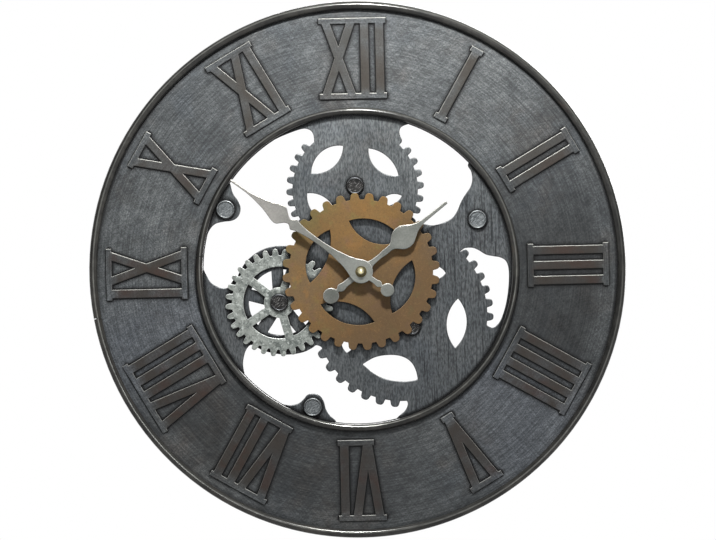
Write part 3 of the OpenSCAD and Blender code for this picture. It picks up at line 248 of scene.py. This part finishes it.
def sheet_tone(k):
    """The ring's cloudy grey, with patches of other tones, and stretches of painted shade and painted
    reflection.
    """
    cloud = k.spread(k.noise(13, 6, 0.62), 0.3, 0.7)
    color = k.mix(cloud, rgb(91, 94, 95), rgb(112, 115, 115))
    blotch = k.spread(k.noise(62, 5, 0.65, 0.4), 0.3, 0.7)
    color = k.mix(blotch, k.dimmed(color, (216, 217, 218)), color)
    blue = k.spread(k.noise(30, 5, 0.6, vector=k.mapped(shift=(0.31, 0, 0.17))), 0.5, 0.74)
    color = k.mix(k.times(blue, 0.3), color, rgb(84, 92, 100))
    warm = k.spread(k.noise(24, 5, 0.65, vector=k.mapped(shift=(0.7, 0, 0.4))), 0.5, 0.76)
    color = k.mix(k.times(warm, 0.55), color, rgb(96, 88, 81))
    stain = k.spread(k.noise(27, 7, 0.68, 0.6, k.mapped(shift=(0.45, 0, 0.9))), 0.5, 0.68, 0.0, 0.6)
    color = k.mix(stain, color, k.dimmed(color, (184, 182, 180)))
    # Two darker stretches of painted shade, at half past three and at seven, with cloudy borders.
    ragged = k.times(k.minus(k.noise(14, 4, 0.6, vector=k.mapped(shift=(0.1, 0, 0.6))), 0.5), 0.9)
    for middle, reach, tone in ((-0.2, 0.95, 174), (-2.05, 0.9, 196)):
        off = k.plus(k.math("ABSOLUTE", k.minus(k.turn(), middle)), ragged)
        inward = k.spread(k.radius(), 0.172, 0.187, 1.0, 0.1)
        dark = k.times(k.spread(off, 0.3, reach, 1.0, 0.0), inward)
        color = k.mix(dark, color, k.dimmed(color, (tone, tone, tone)))
    # Painted shade: slightly darker towards the bottom.
    lower = k.spread(k.axis(Z), RING_Z + 0.05, RING_Z - 0.1, 0.0, 0.8)
    color = k.mix(lower, color, k.dimmed(color, (247, 246, 245)))
    # Two paler and bluer stretches of painted reflection, at half past four and at half past eight.
    for middle, reach in ((-0.75, 0.42), (-2.85, 0.36)):
        off = k.plus(k.math("ABSOLUTE", k.minus(k.turn(), middle)), k.times(ragged, 0.5))
        color = k.mix(k.spread(off, 0.02, reach, 0.5, 0.0), color, rgb(116, 121, 128))
    return color


def stroke_rub(k, color, speck):
    """Brown rub on the raised strokes of the numerals, not on their serif bars, redder low on the ring."""
    wavy = k.times(k.minus(k.noise(42, 3, 0.6), 0.5), 0.016)
    r = k.plus(k.radius(), wavy)
    stroke = k.times(k.spread(r, 0.1275, 0.1375), k.spread(r, 0.1875, 0.1775))
    raised = k.math("LESS_THAN", k.axis(Y), NUMERALS_BEFORE)
    rub = k.spread(k.noise(48, 4, 0.6), 0.3, 0.62, 0.5, 1.0)
    low = k.spread(k.axis(Z), RING_Z + 0.13, RING_Z - 0.05)
    brown = k.mix(k.spread(k.noise(30, 3), 0.38, 0.62), rgb(62, 62, 60), rgb(56, 52, 47))
    red = k.spread(k.noise(44, 3, 0.6, vector=k.mapped(shift=(0.2, 0, 0.8))), 0.48, 0.64, 0.0, 0.75)
    brown = k.mix(k.times(red, low), brown, rgb(68, 43, 34))
    brown = k.mix(k.times(low, 0.6), brown, rgb(45, 39, 35))
    brown = k.mix(k.spread(speck, 0.38, 0.5, 0.5, 0.0), brown, rgb(40, 36, 32))
    return k.mix(k.times(k.times(raised, stroke), rub), color, brown)


def sheet_crease_shade(k, color):
    """Painted shade, with some dirt, round the numerals and beside the hoops."""
    # The hoops shade the sheet only on the side away from the light.
    up = k.skyward()
    by_inner = k.spread(k.radius(), 0.1245, 0.1275, 1.0, 0.0)
    by_outer = k.spread(k.radius(), 0.1885, 0.1905)
    lit_inner = k.times(by_inner, k.spread(up, -0.45, 0.0, 0.0, 0.9))
    lit_outer = k.times(by_outer, k.spread(up, -0.45, 0.25, 0.9, 0.0))
    shaded = k.math("SUBTRACT", 1.0, k.plus(lit_inner, lit_outer), clamp=True)
    beside = k.plus(by_inner, k.spread(k.radius(), 0.1865, 0.1885))
    crease_shade = k.minus(k.nook(0.0034), k.times(beside, 0.15))
    soft_shade = k.times(k.spread(crease_shade, 0.03, 0.24, 0.0, 0.5), shaded)
    color = k.mix(soft_shade, color, rgb(20, 20, 21))
    return k.mix(k.times(k.spread(crease_shade, 0.06, 0.13), shaded), color, rgb(4, 4, 5))


def dial_sheet():
    """Burnished dark sheet: cloudy and finely brushed, brown rub on the strokes, painted shade in every
    crease and on the sides, painted highlight and shade on the edges.
    """
    k = Look("dial_sheet", metallic=0.5, rough=0.5, spec=0.4)
    color = sheet_tone(k)
    # Fine brush marks in three crossing directions, and then round the ring.
    brushed = 0.0
    for turn, shift, fine in ((1.4, 0.0, 900), (0.8, 0.3, 800), (-0.7, 0.6, 760)):
        brushed = k.plus(brushed, k.brushing(turn, fine, 9.0, shift))
    brushed = k.math("DIVIDE", brushed, 3.0)
    color = k.mix(k.spread(brushed, 0.4, 0.6), k.dimmed(color, (186, 187, 188)), color)
    rings = k.ringed(900, 22.0)
    color = k.mix(k.spread(rings, 0.4, 0.6), k.dimmed(color, (206, 207, 208)), color)
    # Dark and bright specks.
    speck = k.noise(1350, 4, 0.75)
    color = k.mix(k.spread(speck, 0.38, 0.5, 0.75, 0.0), color, rgb(50, 52, 54))
    color = k.mix(k.spread(speck, 0.53, 0.68, 0.0, 0.65), color, k.mix(1.0, color, color, "ADD"))
    color = stroke_rub(k, color, speck)
    rounded = k.soft_edge(0.0009)
    color = k.wear(color, rounded, (170, 171, 166), 0.15)
    # Painted highlight on edges that look up and painted shade on edges that look down, stronger towards
    # the top, then painted shade in the creases.
    lit = k.spread(k.axis(Z), RING_Z - 0.1, RING_Z + 0.1, 0.45, 0.9)
    color = k.painted_edge_light(color, rounded, (214, 214, 206), (16, 16, 16), lit)
    color = sheet_crease_shade(k, color)
    # Painted shade on the sides and backs.
    color = k.mix(k.spread(k.aside(), 0.45, 0.9, 0.0, 0.8), color, rgb(26, 26, 27))
    rough = k.spread(k.noise(55, 5, 0.65), 0.3, 0.7, 0.42, 0.6)
    normal = k.bump(brushed, 0.4, 0.0003, rounded)
    normal = k.bump(rings, 0.3, 0.0003, normal)
    normal = k.bump(speck, 0.3, 0.0003, normal)
    normal = k.bump(k.noise(70, 4, 0.6), 0.35, 0.0007, normal)
    return k.done(color, rough, normal)


def hoop_steel():
    """Blackened rod, browner where it was handled, with a painted thin line of shine, painted light on its
    upper sides and painted shade at its foot.
    """
    k = Look("hoop_steel", metallic=0.45, rough=0.17, spec=0.3)
    color = k.mix(k.spread(k.noise(46, 5, 0.65), 0.35, 0.7), rgb(40, 40, 39), rgb(62, 61, 58))
    color = k.mix(k.spread(k.noise(26, 4, 0.7), 0.54, 0.74, 0.0, 0.5), color, rgb(66, 58, 52))
    color = k.mix(k.spread(k.noise(300, 4, 0.7), 0.36, 0.5, 0.4, 0.0), color, rgb(26, 26, 25))
    # Painted shade at the foot, on the side away from the light: outside the inner hoop below, inside the
    # outer one above.
    up = k.skyward()
    outer = k.math("GREATER_THAN", k.radius(), BETWEEN_HOOPS)
    on_outer = k.times(outer, k.spread(up, -0.45, 0.25, 0.1, 1.0))
    on_inner = k.times(k.minus(1.0, outer), k.spread(up, -0.45, 0.0, 1.0, 0.1))
    foot_shade = k.spread(k.nook(0.0032), 0.1, 0.4)
    color = k.mix(k.times(foot_shade, k.plus(on_outer, on_inner)), color, rgb(8, 8, 8))
    # Painted light: sides that look up and to the right are paler.
    normal = k.normal()
    lit = k.plus(k.times(k.axis(X, normal), 0.4), k.times(k.axis(Z, normal), 0.9))
    color = k.mix(k.spread(lit, 0.1, 0.6, 0.0, 0.3), color, rgb(96, 96, 92))
    # A painted thin line of shine on each hoop: its radius, and how far it moves towards the light.
    for middle, lean in ((0.1182, 0.0015), (0.1973, 0.0011)):
        off = k.minus(k.radius(), k.plus(k.times(up, lean), middle))
        shine = k.spread(k.math("ABSOLUTE", off), 0.0001, 0.0008, 0.7, 0.0)
        shine_breakup = k.spread(k.noise(80, 4, 0.65), 0.3, 0.6, 0.45, 1.0)
        shine_breakup = k.times(shine_breakup, k.spread(k.axis(X), 0.14, 0.19, 1.0, 0.5))
        color = k.mix(k.times(shine, shine_breakup), color, rgb(126, 126, 121))
    rough = k.spread(k.noise(60, 4, 0.6), 0.3, 0.7, 0.15, 0.22)
    return k.done(color, rough, k.bump(k.noise(60, 3), 0.12, 0.0005))


def plate_steel():
    """Dark plate with fine vertical brush marks, blue heat tint, and painted shade round the bolts and
    gears.
    """
    k = Look("plate_steel", metallic=0.6, rough=0.45, spec=0.4)
    cloud = k.spread(k.noise(15, 5, 0.6), 0.3, 0.72)
    color = k.mix(cloud, rgb(88, 92, 93), rgb(117, 120, 120))
    blue = k.spread(k.noise(26, 4, 0.6, vector=k.mapped(shift=(0.5, 0, 0.1))), 0.46, 0.7)
    color = k.mix(k.times(blue, 0.3), color, rgb(82, 90, 100))
    warm = k.spread(k.noise(30, 4, 0.6, vector=k.mapped(shift=(0.2, 0, 0.7))), 0.54, 0.76)
    color = k.mix(k.times(warm, 0.4), color, rgb(92, 86, 82))
    # Upright streaks, pale and dark in turn: scale, the noise value where they are full, share and tone.
    for scale, high, share, tone in ((60, 0.72, 0.22, (126, 130, 131)), (42, 0.7, 0.24, (56, 59, 61)),
                                     (110, 0.68, 0.22, (128, 131, 132)), (170, 0.66, 0.3, (50, 52, 54))):
        upright = k.mapped(scale=(9, 1, 0.6), rot=(0, 0.04, 0), shift=(scale * 0.01, 0, 0))
        streak = k.spread(k.noise(scale, 4, 0.65, vector=upright), 0.5, high)
        color = k.mix(k.times(streak, share), color, rgb(*tone))
    lower = k.spread(k.axis(Z), RING_Z + 0.075, RING_Z + 0.02, 0.0, 0.45)
    color = k.mix(lower, color, rgb(62, 65, 68))
    # Long dark scores, like the grain of wood, mostly in the right half.
    score = k.noise(46, 5, 0.7, 0.25, k.mapped(scale=(14, 1, 0.5), rot=(0, 0.03, 0)))
    right = k.spread(k.axis(X), 0.02, 0.06, 0.15, 0.8)
    color = k.mix(k.times(k.spread(score, 0.5, 0.62), right), color, rgb(34, 36, 38))
    grain = k.noise(900, 3, 0.65, vector=k.mapped(scale=(1, 1, 0.35)))
    color = k.mix(k.spread(grain, 0.35, 0.65), k.dimmed(color, (176, 177, 179)), color)
    # Dark outlines, painted highlight where edges look up and painted shade where they look down, and
    # painted shade in the creases and on the sides.
    rounded = k.soft_edge(0.0012)
    color = k.wear(color, rounded, (24, 25, 27), 0.85)
    color = k.painted_edge_light(color, rounded, (164, 166, 166), (30, 30, 32), 0.6)
    crease_shade = k.nook(0.005)
    color = k.mix(k.spread(crease_shade, 0.06, 0.45, 0.0, 0.6), color, rgb(20, 20, 22))
    color = k.mix(k.spread(crease_shade, 0.2, 0.34), color, rgb(6, 6, 7))
    color = k.mix(k.times(k.aside(), 0.7), color, rgb(34, 35, 38))
    rough = k.spread(k.noise(60, 3), 0.3, 0.7, 0.36, 0.54)
    fine = k.noise(200, 4, 0.6, vector=k.mapped(scale=(6, 1, 0.3)))
    return k.done(color, rough, k.bump(fine, 0.35, 0.0004, rounded))


def galvanised_steel():
    """Mottled grey zinc with green-grey stains, painted shade in the creases and on the sides, rubbed
    bright and with painted highlight on the edges.
    """
    k = Look("galvanised_steel", metallic=0.6, rough=0.42, spec=0.5)
    big = k.spread(k.noise(60, 6, 0.7, 0.5), 0.34, 0.66)
    color = k.mix(big, rgb(106, 111, 107), rgb(150, 154, 148))
    stain = k.spread(k.noise(210, 6, 0.75, 0.6, k.mapped(shift=(0.2, 0, 0.5))), 0.46, 0.6)
    color = k.mix(k.times(stain, 0.65), color, rgb(64, 70, 67))
    light = k.spread(k.noise(330, 5, 0.75, 0.4, k.mapped(shift=(0.9, 0, 0.1))), 0.52, 0.64)
    color = k.mix(k.times(light, 0.8), color, rgb(192, 197, 191))
    rounded = k.soft_edge(0.0008)
    color = k.wear(color, rounded, (228, 231, 226), 0.7)
    # Painted highlight on edges that look up and painted shade on those that look down, then painted shade
    # in the creases and on the sides.
    color = k.painted_edge_light(color, rounded, (238, 240, 236), (70, 72, 70), 0.8)
    color = k.crease_shade_and_grime(color, (22, 24, 23), 0.005, 0.15, 0.5, 0.95)
    color = k.mix(k.times(k.aside(), 0.6), color, rgb(70, 72, 70))
    rough = k.spread(big, 0.0, 1.0, 0.5, 0.34)
    return k.done(color, rough, k.bump(k.noise(260, 5, 0.65), 0.5, 0.0006, rounded))


def rust_brown():
    """Old brown lacquer, with painted shade darkening it to the lower right, in the creases and on the
    sides, and olive, orange and plum patches.
    """
    k = Look("rust_brown", metallic=0.15, rough=0.55, spec=0.3)
    color = k.mix(k.spread(k.noise(20, 5, 0.6), 0.35, 0.68), rgb(104, 79, 44), rgb(116, 86, 43))
    # Patches: scale, shift, the noise value where they start, share and tone.
    for scale, shift, low, share, tone in (
            (15, 0.4, 0.46, 0.85, (98, 79, 54)), (70, 0.15, 0.54, 0.7, (106, 94, 50)),
            (52, 0.85, 0.55, 0.55, (130, 92, 44)), (60, 0.6, 0.57, 0.6, (108, 78, 64))):
        patch = k.noise(scale, 4, 0.65, vector=k.mapped(shift=(shift, 0, shift * 2)))
        color = k.mix(k.spread(patch, low, low + 0.16, 0.0, share), color, rgb(*tone))
    # Painted shade: darker towards the lower right.
    across = k.minus(k.minus(k.axis(X), HUB_X), k.minus(k.axis(Z), HUB_Z))
    color = k.mix(k.spread(across, -0.04, 0.06, 0.0, 0.65), color, rgb(74, 58, 41))
    # Olive and dark stains on the upper left rim.
    olive = k.spread(k.noise(90, 5, 0.7, vector=k.mapped(shift=(0.3, 0, 0.3))), 0.36, 0.56)
    rim = k.spread(across, -0.052, -0.08, 0.0, 0.8)
    color = k.mix(k.times(rim, olive), color, rgb(92, 84, 48))
    dust = k.noise(800, 5, 0.75)
    color = k.mix(k.spread(dust, 0.54, 0.7, 0.0, 0.28), color, rgb(140, 114, 74))
    color = k.mix(k.spread(dust, 0.34, 0.48, 0.45, 0.0), color, rgb(74, 58, 38))
    rounded = k.soft_edge(0.0005)
    # Painted highlight on edges that look up and painted shade on those that look down, then painted shade
    # in the creases, under the hands and on the sides.
    color = k.painted_edge_light(color, rounded, (168, 144, 108), (36, 27, 20), 0.7)
    color = k.crease_shade_and_grime(color, (18, 13, 10), 0.005, 0.1, 0.45, 1.0)
    color = k.mix(k.times(k.aside(), 0.85), color, rgb(44, 34, 26))
    rough = k.spread(k.noise(50, 4), 0.3, 0.7, 0.5, 0.66)
    return k.done(color, rough, k.bump(dust, 0.35, 0.0003, rounded))


def hand_steel():
    """Satin plated hands with a light grain, a painted highlight round the spindle, paler on the left
    blade.
    """
    k = Look("hand_steel", metallic=0.6, rough=0.4, spec=0.5)
    color = k.mix(k.spread(k.noise(24, 4, 0.6), 0.3, 0.7), rgb(90, 92, 87), rgb(124, 126, 120))
    color = k.mix(k.spread(k.noise(70, 5, 0.65), 0.52, 0.72, 0.0, 0.45), color, rgb(108, 108, 102))
    # Painted highlight round the spindle.
    color = k.mix(k.spread(k.radius(HUB_X, HUB_Z), 0.006, 0.03, 0.5, 0.0), color, rgb(146, 148, 142))
    color = k.mix(k.spread(k.axis(X), -0.02, -0.07, 0.0, 0.8), color, rgb(152, 149, 144))
    grain = k.noise(700, 3, 0.6)
    color = k.mix(k.spread(grain, 0.3, 0.7), k.dimmed(color, (236, 236, 236)), color)
    rounded = k.soft_edge(0.0009)
    color = k.wear(color, rounded, (204, 202, 194), 0.55)
    # Painted highlight on edges that look up and painted shade on those that look down.
    color = k.painted_edge_light(color, rounded, (238, 235, 226), (32, 32, 30), 0.9)
    color = k.mix(k.times(k.aside(), 0.4), color, rgb(112, 114, 114))
    rough = k.spread(k.noise(120, 3), 0.3, 0.7, 0.34, 0.46)
    return k.done(color, rough, k.bump(grain, 0.15, 0.0002, rounded))


def bolt_look(name, low, high, metallic, rough, dirt_and_shade, line, rub):
    """Bolt metal: a streaked dish, a shoulder blackened by painted shade, and painted shine on lips and
    faces that look up.
    """
    k = Look(name, metallic=metallic, rough=rough, spec=0.5)
    color = k.mix(k.spread(k.noise(170, 4, 0.65), 0.35, 0.68), rgb(*low), rgb(*high))
    streak = k.brushing(0.9, 1500, 4.0)
    color = k.mix(k.spread(streak, 0.52, 0.66, 0.0, 0.75), color, rgb(*line))
    color = k.mix(k.spread(streak, 0.34, 0.48, 0.75, 0.0), color, rgb(*dirt_and_shade))
    # Painted shade in the creases, painted highlight and shade on the edges, painted shade on the shoulder,
    # and painted shine on faces that look up.
    color = k.crease_shade_and_grime(color, dirt_and_shade, 0.0012, 0.15, 0.4, 0.9)
    rounded = k.soft_edge(0.0008)
    color = k.painted_edge_light(color, rounded, rub, dirt_and_shade, 0.95)
    color = k.mix(k.spread(k.facing(), 0.7, 0.97, 1.0, 0.0), color, rgb(*dirt_and_shade))
    color = k.mix(k.spread(k.axis(Z, k.normal()), 0.72, 0.95, 0.0, 0.8), color, rgb(*rub))
    rough_map = k.spread(k.noise(240, 3), 0.3, 0.7, rough - 0.07, rough + 0.1)
    return k.done(color, rough_map, k.bump(streak, 0.4, 0.0003, rounded))


def plain_metal(name, low, high, metallic, rough, scale):
    """Plated or turned metal with light tone changes and fine marks."""
    k = Look(name, metallic=metallic, rough=rough, spec=0.5)
    color = k.mix(k.spread(k.noise(scale, 4, 0.6), 0.3, 0.7), rgb(*low), rgb(*high))
    rough_map = k.spread(k.noise(scale * 2, 3), 0.3, 0.7, rough - 0.06, rough + 0.08)
    return k.done(color, rough_map, k.bump(k.noise(scale * 6, 3), 0.15, 0.0002))


def cap_brass():
    """Polished brass ball with a painted highlight above the middle and painted shade, deep olive, round
    its foot.
    """
    k = Look("cap_brass", metallic=0.6, rough=0.24, spec=0.6)
    # Painted highlight above the middle, fading to painted shade round the foot.
    off = k.radius(HUB_X - 0.0003, HUB_Z + 0.0005)
    color = k.mix(k.spread(off, 0.001, 0.0032), rgb(238, 228, 184), rgb(74, 66, 38))
    color = k.mix(k.spread(k.noise(300, 3), 0.4, 0.7, 0.0, 0.2), color, rgb(140, 128, 84))
    return k.done(color, k.spread(k.noise(200, 3), 0.3, 0.7, 0.2, 0.28), None)


def moulded(name, low, high, rough, grain, strength):
    """Moulded plastic or rubber with a fine spark grain."""
    k = Look(name, metallic=0.0, rough=rough, spec=0.45)
    color = k.mix(k.spread(k.noise(90, 3), 0.3, 0.7), rgb(*low), rgb(*high))
    rough_map = k.spread(k.noise(200, 3), 0.3, 0.7, rough - 0.06, rough + 0.08)
    return k.done(color, rough_map, k.bump(k.noise(grain, 2, 0.5), strength, 0.0002))


def copper_winding():
    """Enamelled wire: fine turns across the coil's axis."""
    k = Look("copper_wire", metallic=0.8, rough=0.3)
    wire_pitch = 0.00025
    wave = k.math("SINE", k.times(k.axis(X), 2 * math.pi / wire_pitch))
    color = k.mix(k.spread(wave, -1.0, 1.0), rgb(120, 58, 30), rgb(196, 112, 62))
    return k.done(color, None, k.bump(wave, 0.5, 0.0001))


def battery_sleeve():
    """Printed foil sleeve in two plain colours, with bare metal at the plus end."""
    k = Look("battery_sleeve", metallic=0.1, rough=0.3, spec=0.5, coat=0.4, coat_rough=0.15)
    band_from = 0.011
    bare_from = 0.0236
    x = k.axis(X)
    color = k.mix(k.math("GREATER_THAN", x, band_from), rgb(40, 46, 54), rgb(176, 132, 62))
    color = k.mix(k.math("GREATER_THAN", x, bare_from), color, rgb(186, 186, 184))
    color = k.mix(k.times(k.spread(k.noise(200, 4), 0.55, 0.8), 0.2), color, rgb(120, 120, 120))
    rough = k.spread(k.noise(150, 3), 0.3, 0.7, 0.24, 0.38)
    return k.done(color, rough, k.bump(k.noise(500, 3), 0.1, 0.0002))


def board_green():
    """Green board with paler copper tracks under the lacquer."""
    k = Look("board_green", rough=0.35, spec=0.5)
    cells = k.tree.nodes.new("ShaderNodeTexVoronoi")
    cells.feature = "DISTANCE_TO_EDGE"
    cells.inputs["Scale"].default_value = 420
    k.link(k.coords, cells.inputs["Vector"])
    track = k.spread(cells.outputs["Distance"], 0.0, 0.12, 1.0, 0.0)
    color = k.mix(track, rgb(30, 84, 52), rgb(66, 122, 80))
    return k.done(color, k.spread(k.noise(300, 3), 0.3, 0.7, 0.3, 0.45), k.bump(track, 0.3, 0.0001))


MATERIALS = {
    "dial_sheet": dial_sheet(),
    "hoop_steel": hoop_steel(),
    "plate_steel": plate_steel(),
    "galvanised_steel": galvanised_steel(),
    "rust_brown": rust_brown(),
    "hand_steel": hand_steel(),
    "grey_bolt_steel": bolt_look("grey_bolt_steel", (80, 84, 86), (108, 112, 113), 0.6, 0.4, (8, 8, 9),
                                 (150, 154, 155), (146, 150, 150)),
    "black_bolt_steel": bolt_look("black_bolt_steel", (22, 21, 20), (38, 36, 34), 0.5, 0.36, (4, 4, 4),
                                  (132, 130, 128), (104, 107, 110)),
    "zinc_steel": plain_metal("zinc_steel", (138, 141, 143), (166, 168, 168), 0.7, 0.36, 90),
    "movement_brass": plain_metal("movement_brass", (178, 140, 74), (204, 168, 98), 0.85, 0.3, 160),
    "cap_brass": cap_brass(),
    "contact_nickel": plain_metal("contact_nickel", (190, 190, 186), (212, 212, 208), 0.9, 0.2, 200),
    "magnet_dark": plain_metal("magnet_dark", (58, 58, 62), (80, 80, 84), 0.6, 0.4, 300),
    "black_rubber": moulded("black_rubber", (24, 24, 24), (36, 36, 36), 0.75, 700, 0.3),
    "black_plastic": moulded("black_plastic", (26, 26, 27), (38, 38, 39), 0.5, 1300, 0.3),
    "white_plastic": moulded("white_plastic", (216, 212, 202), (230, 227, 218), 0.42, 1500, 0.12),
    "chip_black": moulded("chip_black", (20, 20, 21), (30, 30, 31), 0.5, 1800, 0.3),
    "copper_wire": copper_winding(),
    "battery_sleeve": battery_sleeve(),
    "board_green": board_green(),
}

for sub in frame["record"]["subparts"]:
    mesh = nodes[sub["node"]].data
    mesh.materials.clear()
    mesh.materials.append(MATERIALS[sub["material_slot"]])

# Width of the real edge bevel on each CAD node that has one.
BEVELS = {
    "silver_gear": 0.0003, "brown_gear": 0.0003, "hanger_bracket": 0.0003, "gear_bolt_nuts": 0.0003,
    "hex_nut": 0.0003, "standoff_pillars": 0.0003, "rubber_feet": 0.0005, "movement_front_case": 0.0004,
    "movement_rear_cover": 0.0003, "setting_knob": 0.0003, "battery": 0.0004, "ring_rivets": 0.0003,
    "brown_gear_tube": 0.0003, "brass_washer": 0.0002, "silver_spacer": 0.0002, "rubber_washer": 0.0002,
}
# Faces within the first angle are one flat face, and edges sharper than the second one are bevelled.
FLAT_DEGREES = 0.5
SHARP_DEGREES = 35
for name, width in BEVELS.items():
    flat = nodes[name].modifiers.new("flat", "DECIMATE")
    flat.decimate_type = "DISSOLVE"
    flat.angle_limit = math.radians(FLAT_DEGREES)
    bevel = nodes[name].modifiers.new("edge", "BEVEL")
    bevel.width = width
    bevel.segments = 2
    bevel.limit_method = "ANGLE"
    bevel.angle_limit = math.radians(SHARP_DEGREES)

# The floor shows white, with the shade of what stands near it, and is a pale board to diffuse light.
FLOOR_HALF = 30
FLOOR_Z = -0.6
pale = bpy.data.materials.new("stage_pale")
pale.use_nodes = True
tree = pale.node_tree
board = tree.nodes["Principled BSDF"]
board.inputs["Base Color"].default_value = (0.8, 0.8, 0.8, 1)
board.inputs["Roughness"].default_value = 0.9
shade = tree.nodes.new("ShaderNodeAmbientOcclusion")
shade.inputs["Distance"].default_value = 0.5
glow = tree.nodes.new("ShaderNodeEmission")
tree.links.new(shade.outputs["Color"], glow.inputs["Color"])
path = tree.nodes.new("ShaderNodeLightPath")
seen = path.outputs["Is Camera Ray"]
for ray in ("Is Glossy Ray", "Is Transmission Ray"):
    seen = calc(tree, "MAXIMUM", seen, path.outputs[ray])
blend = tree.nodes.new("ShaderNodeMixShader")
tree.links.new(seen, blend.inputs[0])
tree.links.new(board.outputs[0], blend.inputs[1])
tree.links.new(glow.outputs[0], blend.inputs[2])
tree.links.new(blend.outputs[0], tree.nodes["Material Output"].inputs["Surface"])

floor_mesh = bpy.data.meshes.new("stage_floor")
corners = [(x * FLOOR_HALF, y * FLOOR_HALF, FLOOR_Z) for x, y in ((-1, -1), (1, -1), (1, 1), (-1, 1))]
floor_mesh.from_pydata(corners, [], [(0, 1, 2, 3)])
floor_mesh.materials.append(pale)
floor = bpy.data.objects.new("stage_floor", floor_mesh)
bpy.context.scene.collection.objects.link(floor)

# The world is white to the camera, and behind the object to mirrors, with a soft grey room in front of it.
world = bpy.data.worlds.new("studio")
bpy.context.scene.world = world
world.use_nodes = True
tree = world.node_tree
path = tree.nodes.new("ShaderNodeLightPath")
way = tree.nodes.new("ShaderNodeSeparateXYZ")
tree.links.new(tree.nodes.new("ShaderNodeTexCoord").outputs["Generated"], way.inputs[0])
behind = calc(tree, "MULTIPLY", calc(tree, "ADD", way.outputs[Y], 0.02), 25.0, True)
mirror = calc(tree, "MAXIMUM", path.outputs["Is Glossy Ray"], path.outputs["Is Transmission Ray"])
shown = calc(tree, "MAXIMUM", path.outputs["Is Camera Ray"], calc(tree, "MULTIPLY", mirror, behind))
room = tree.nodes.new("ShaderNodeMix")
room.data_type = "RGBA"
feed(tree, shown, room.inputs[0])
feed(tree, (0.20, 0.205, 0.215), room.inputs[MIX_A])
feed(tree, (1, 1, 1), room.inputs[MIX_B])
tree.links.new(room.outputs[MIX_OUT], tree.nodes["Background"].inputs["Color"])


def lamp(name, place, size, power, tint=(1, 1, 1)):
    """A round area lamp that looks at the dial's middle."""
    data = bpy.data.lights.new(name, "AREA")
    data.shape = "DISK"
    data.size = size
    data.energy = power
    data.color = tint
    obj = bpy.data.objects.new(name, data)
    obj.location = place
    obj.rotation_euler = (DIAL_FRONT - Vector(place)).to_track_quat("-Z", "Y").to_euler()
    bpy.context.scene.collection.objects.link(obj)


lamp("key", (0.03, -0.56, RING_Z + 0.50), 0.10, 8.2)
lamp("fill", (0.35, -2.3, RING_Z + 0.35), 0.5, 4.2, (0.97, 0.99, 1.0))
lamp("back", (0.4, 1.4, RING_Z + 0.5), 1.2, 30.0)

# The photograph: its size, the outer hoop's width and middle in pixels, and its slight turn in degrees.
PHOTO_WIDE, PHOTO_HIGH = 716, 540
HOOP_PX = 536.6
HOOP_X_PX, HOOP_Y_PX = 357.5, 269.4
PHOTO_TURN = -1.3
# The hoop's true width, the plane it is measured in, and how far the camera stands from it.
HOOP_M = 0.4
HOOP_Y = -0.0264
DISTANCE = 2.5
SENSOR_MM = 36.0

per_px = HOOP_M / HOOP_PX
cam_data = bpy.data.cameras.new("photo_camera")
cam_data.sensor_width = SENSOR_MM
cam_data.lens = DISTANCE / per_px / PHOTO_WIDE * SENSOR_MM
cam_data.clip_start, cam_data.clip_end = 0.05, 100.0
cam = bpy.data.objects.new("photo_camera", cam_data)
cam.location = ((PHOTO_WIDE / 2 - HOOP_X_PX) * per_px, HOOP_Y - DISTANCE,
                RING_Z - (PHOTO_HIGH / 2 - HOOP_Y_PX) * per_px)
cam.rotation_euler = (math.radians(90), 0, 0)
cam.rotation_euler.rotate_axis("Z", math.radians(PHOTO_TURN))
bpy.context.scene.collection.objects.link(cam)
bpy.context.scene.camera = cam
bpy.context.scene.view_settings.view_transform = "Standard"
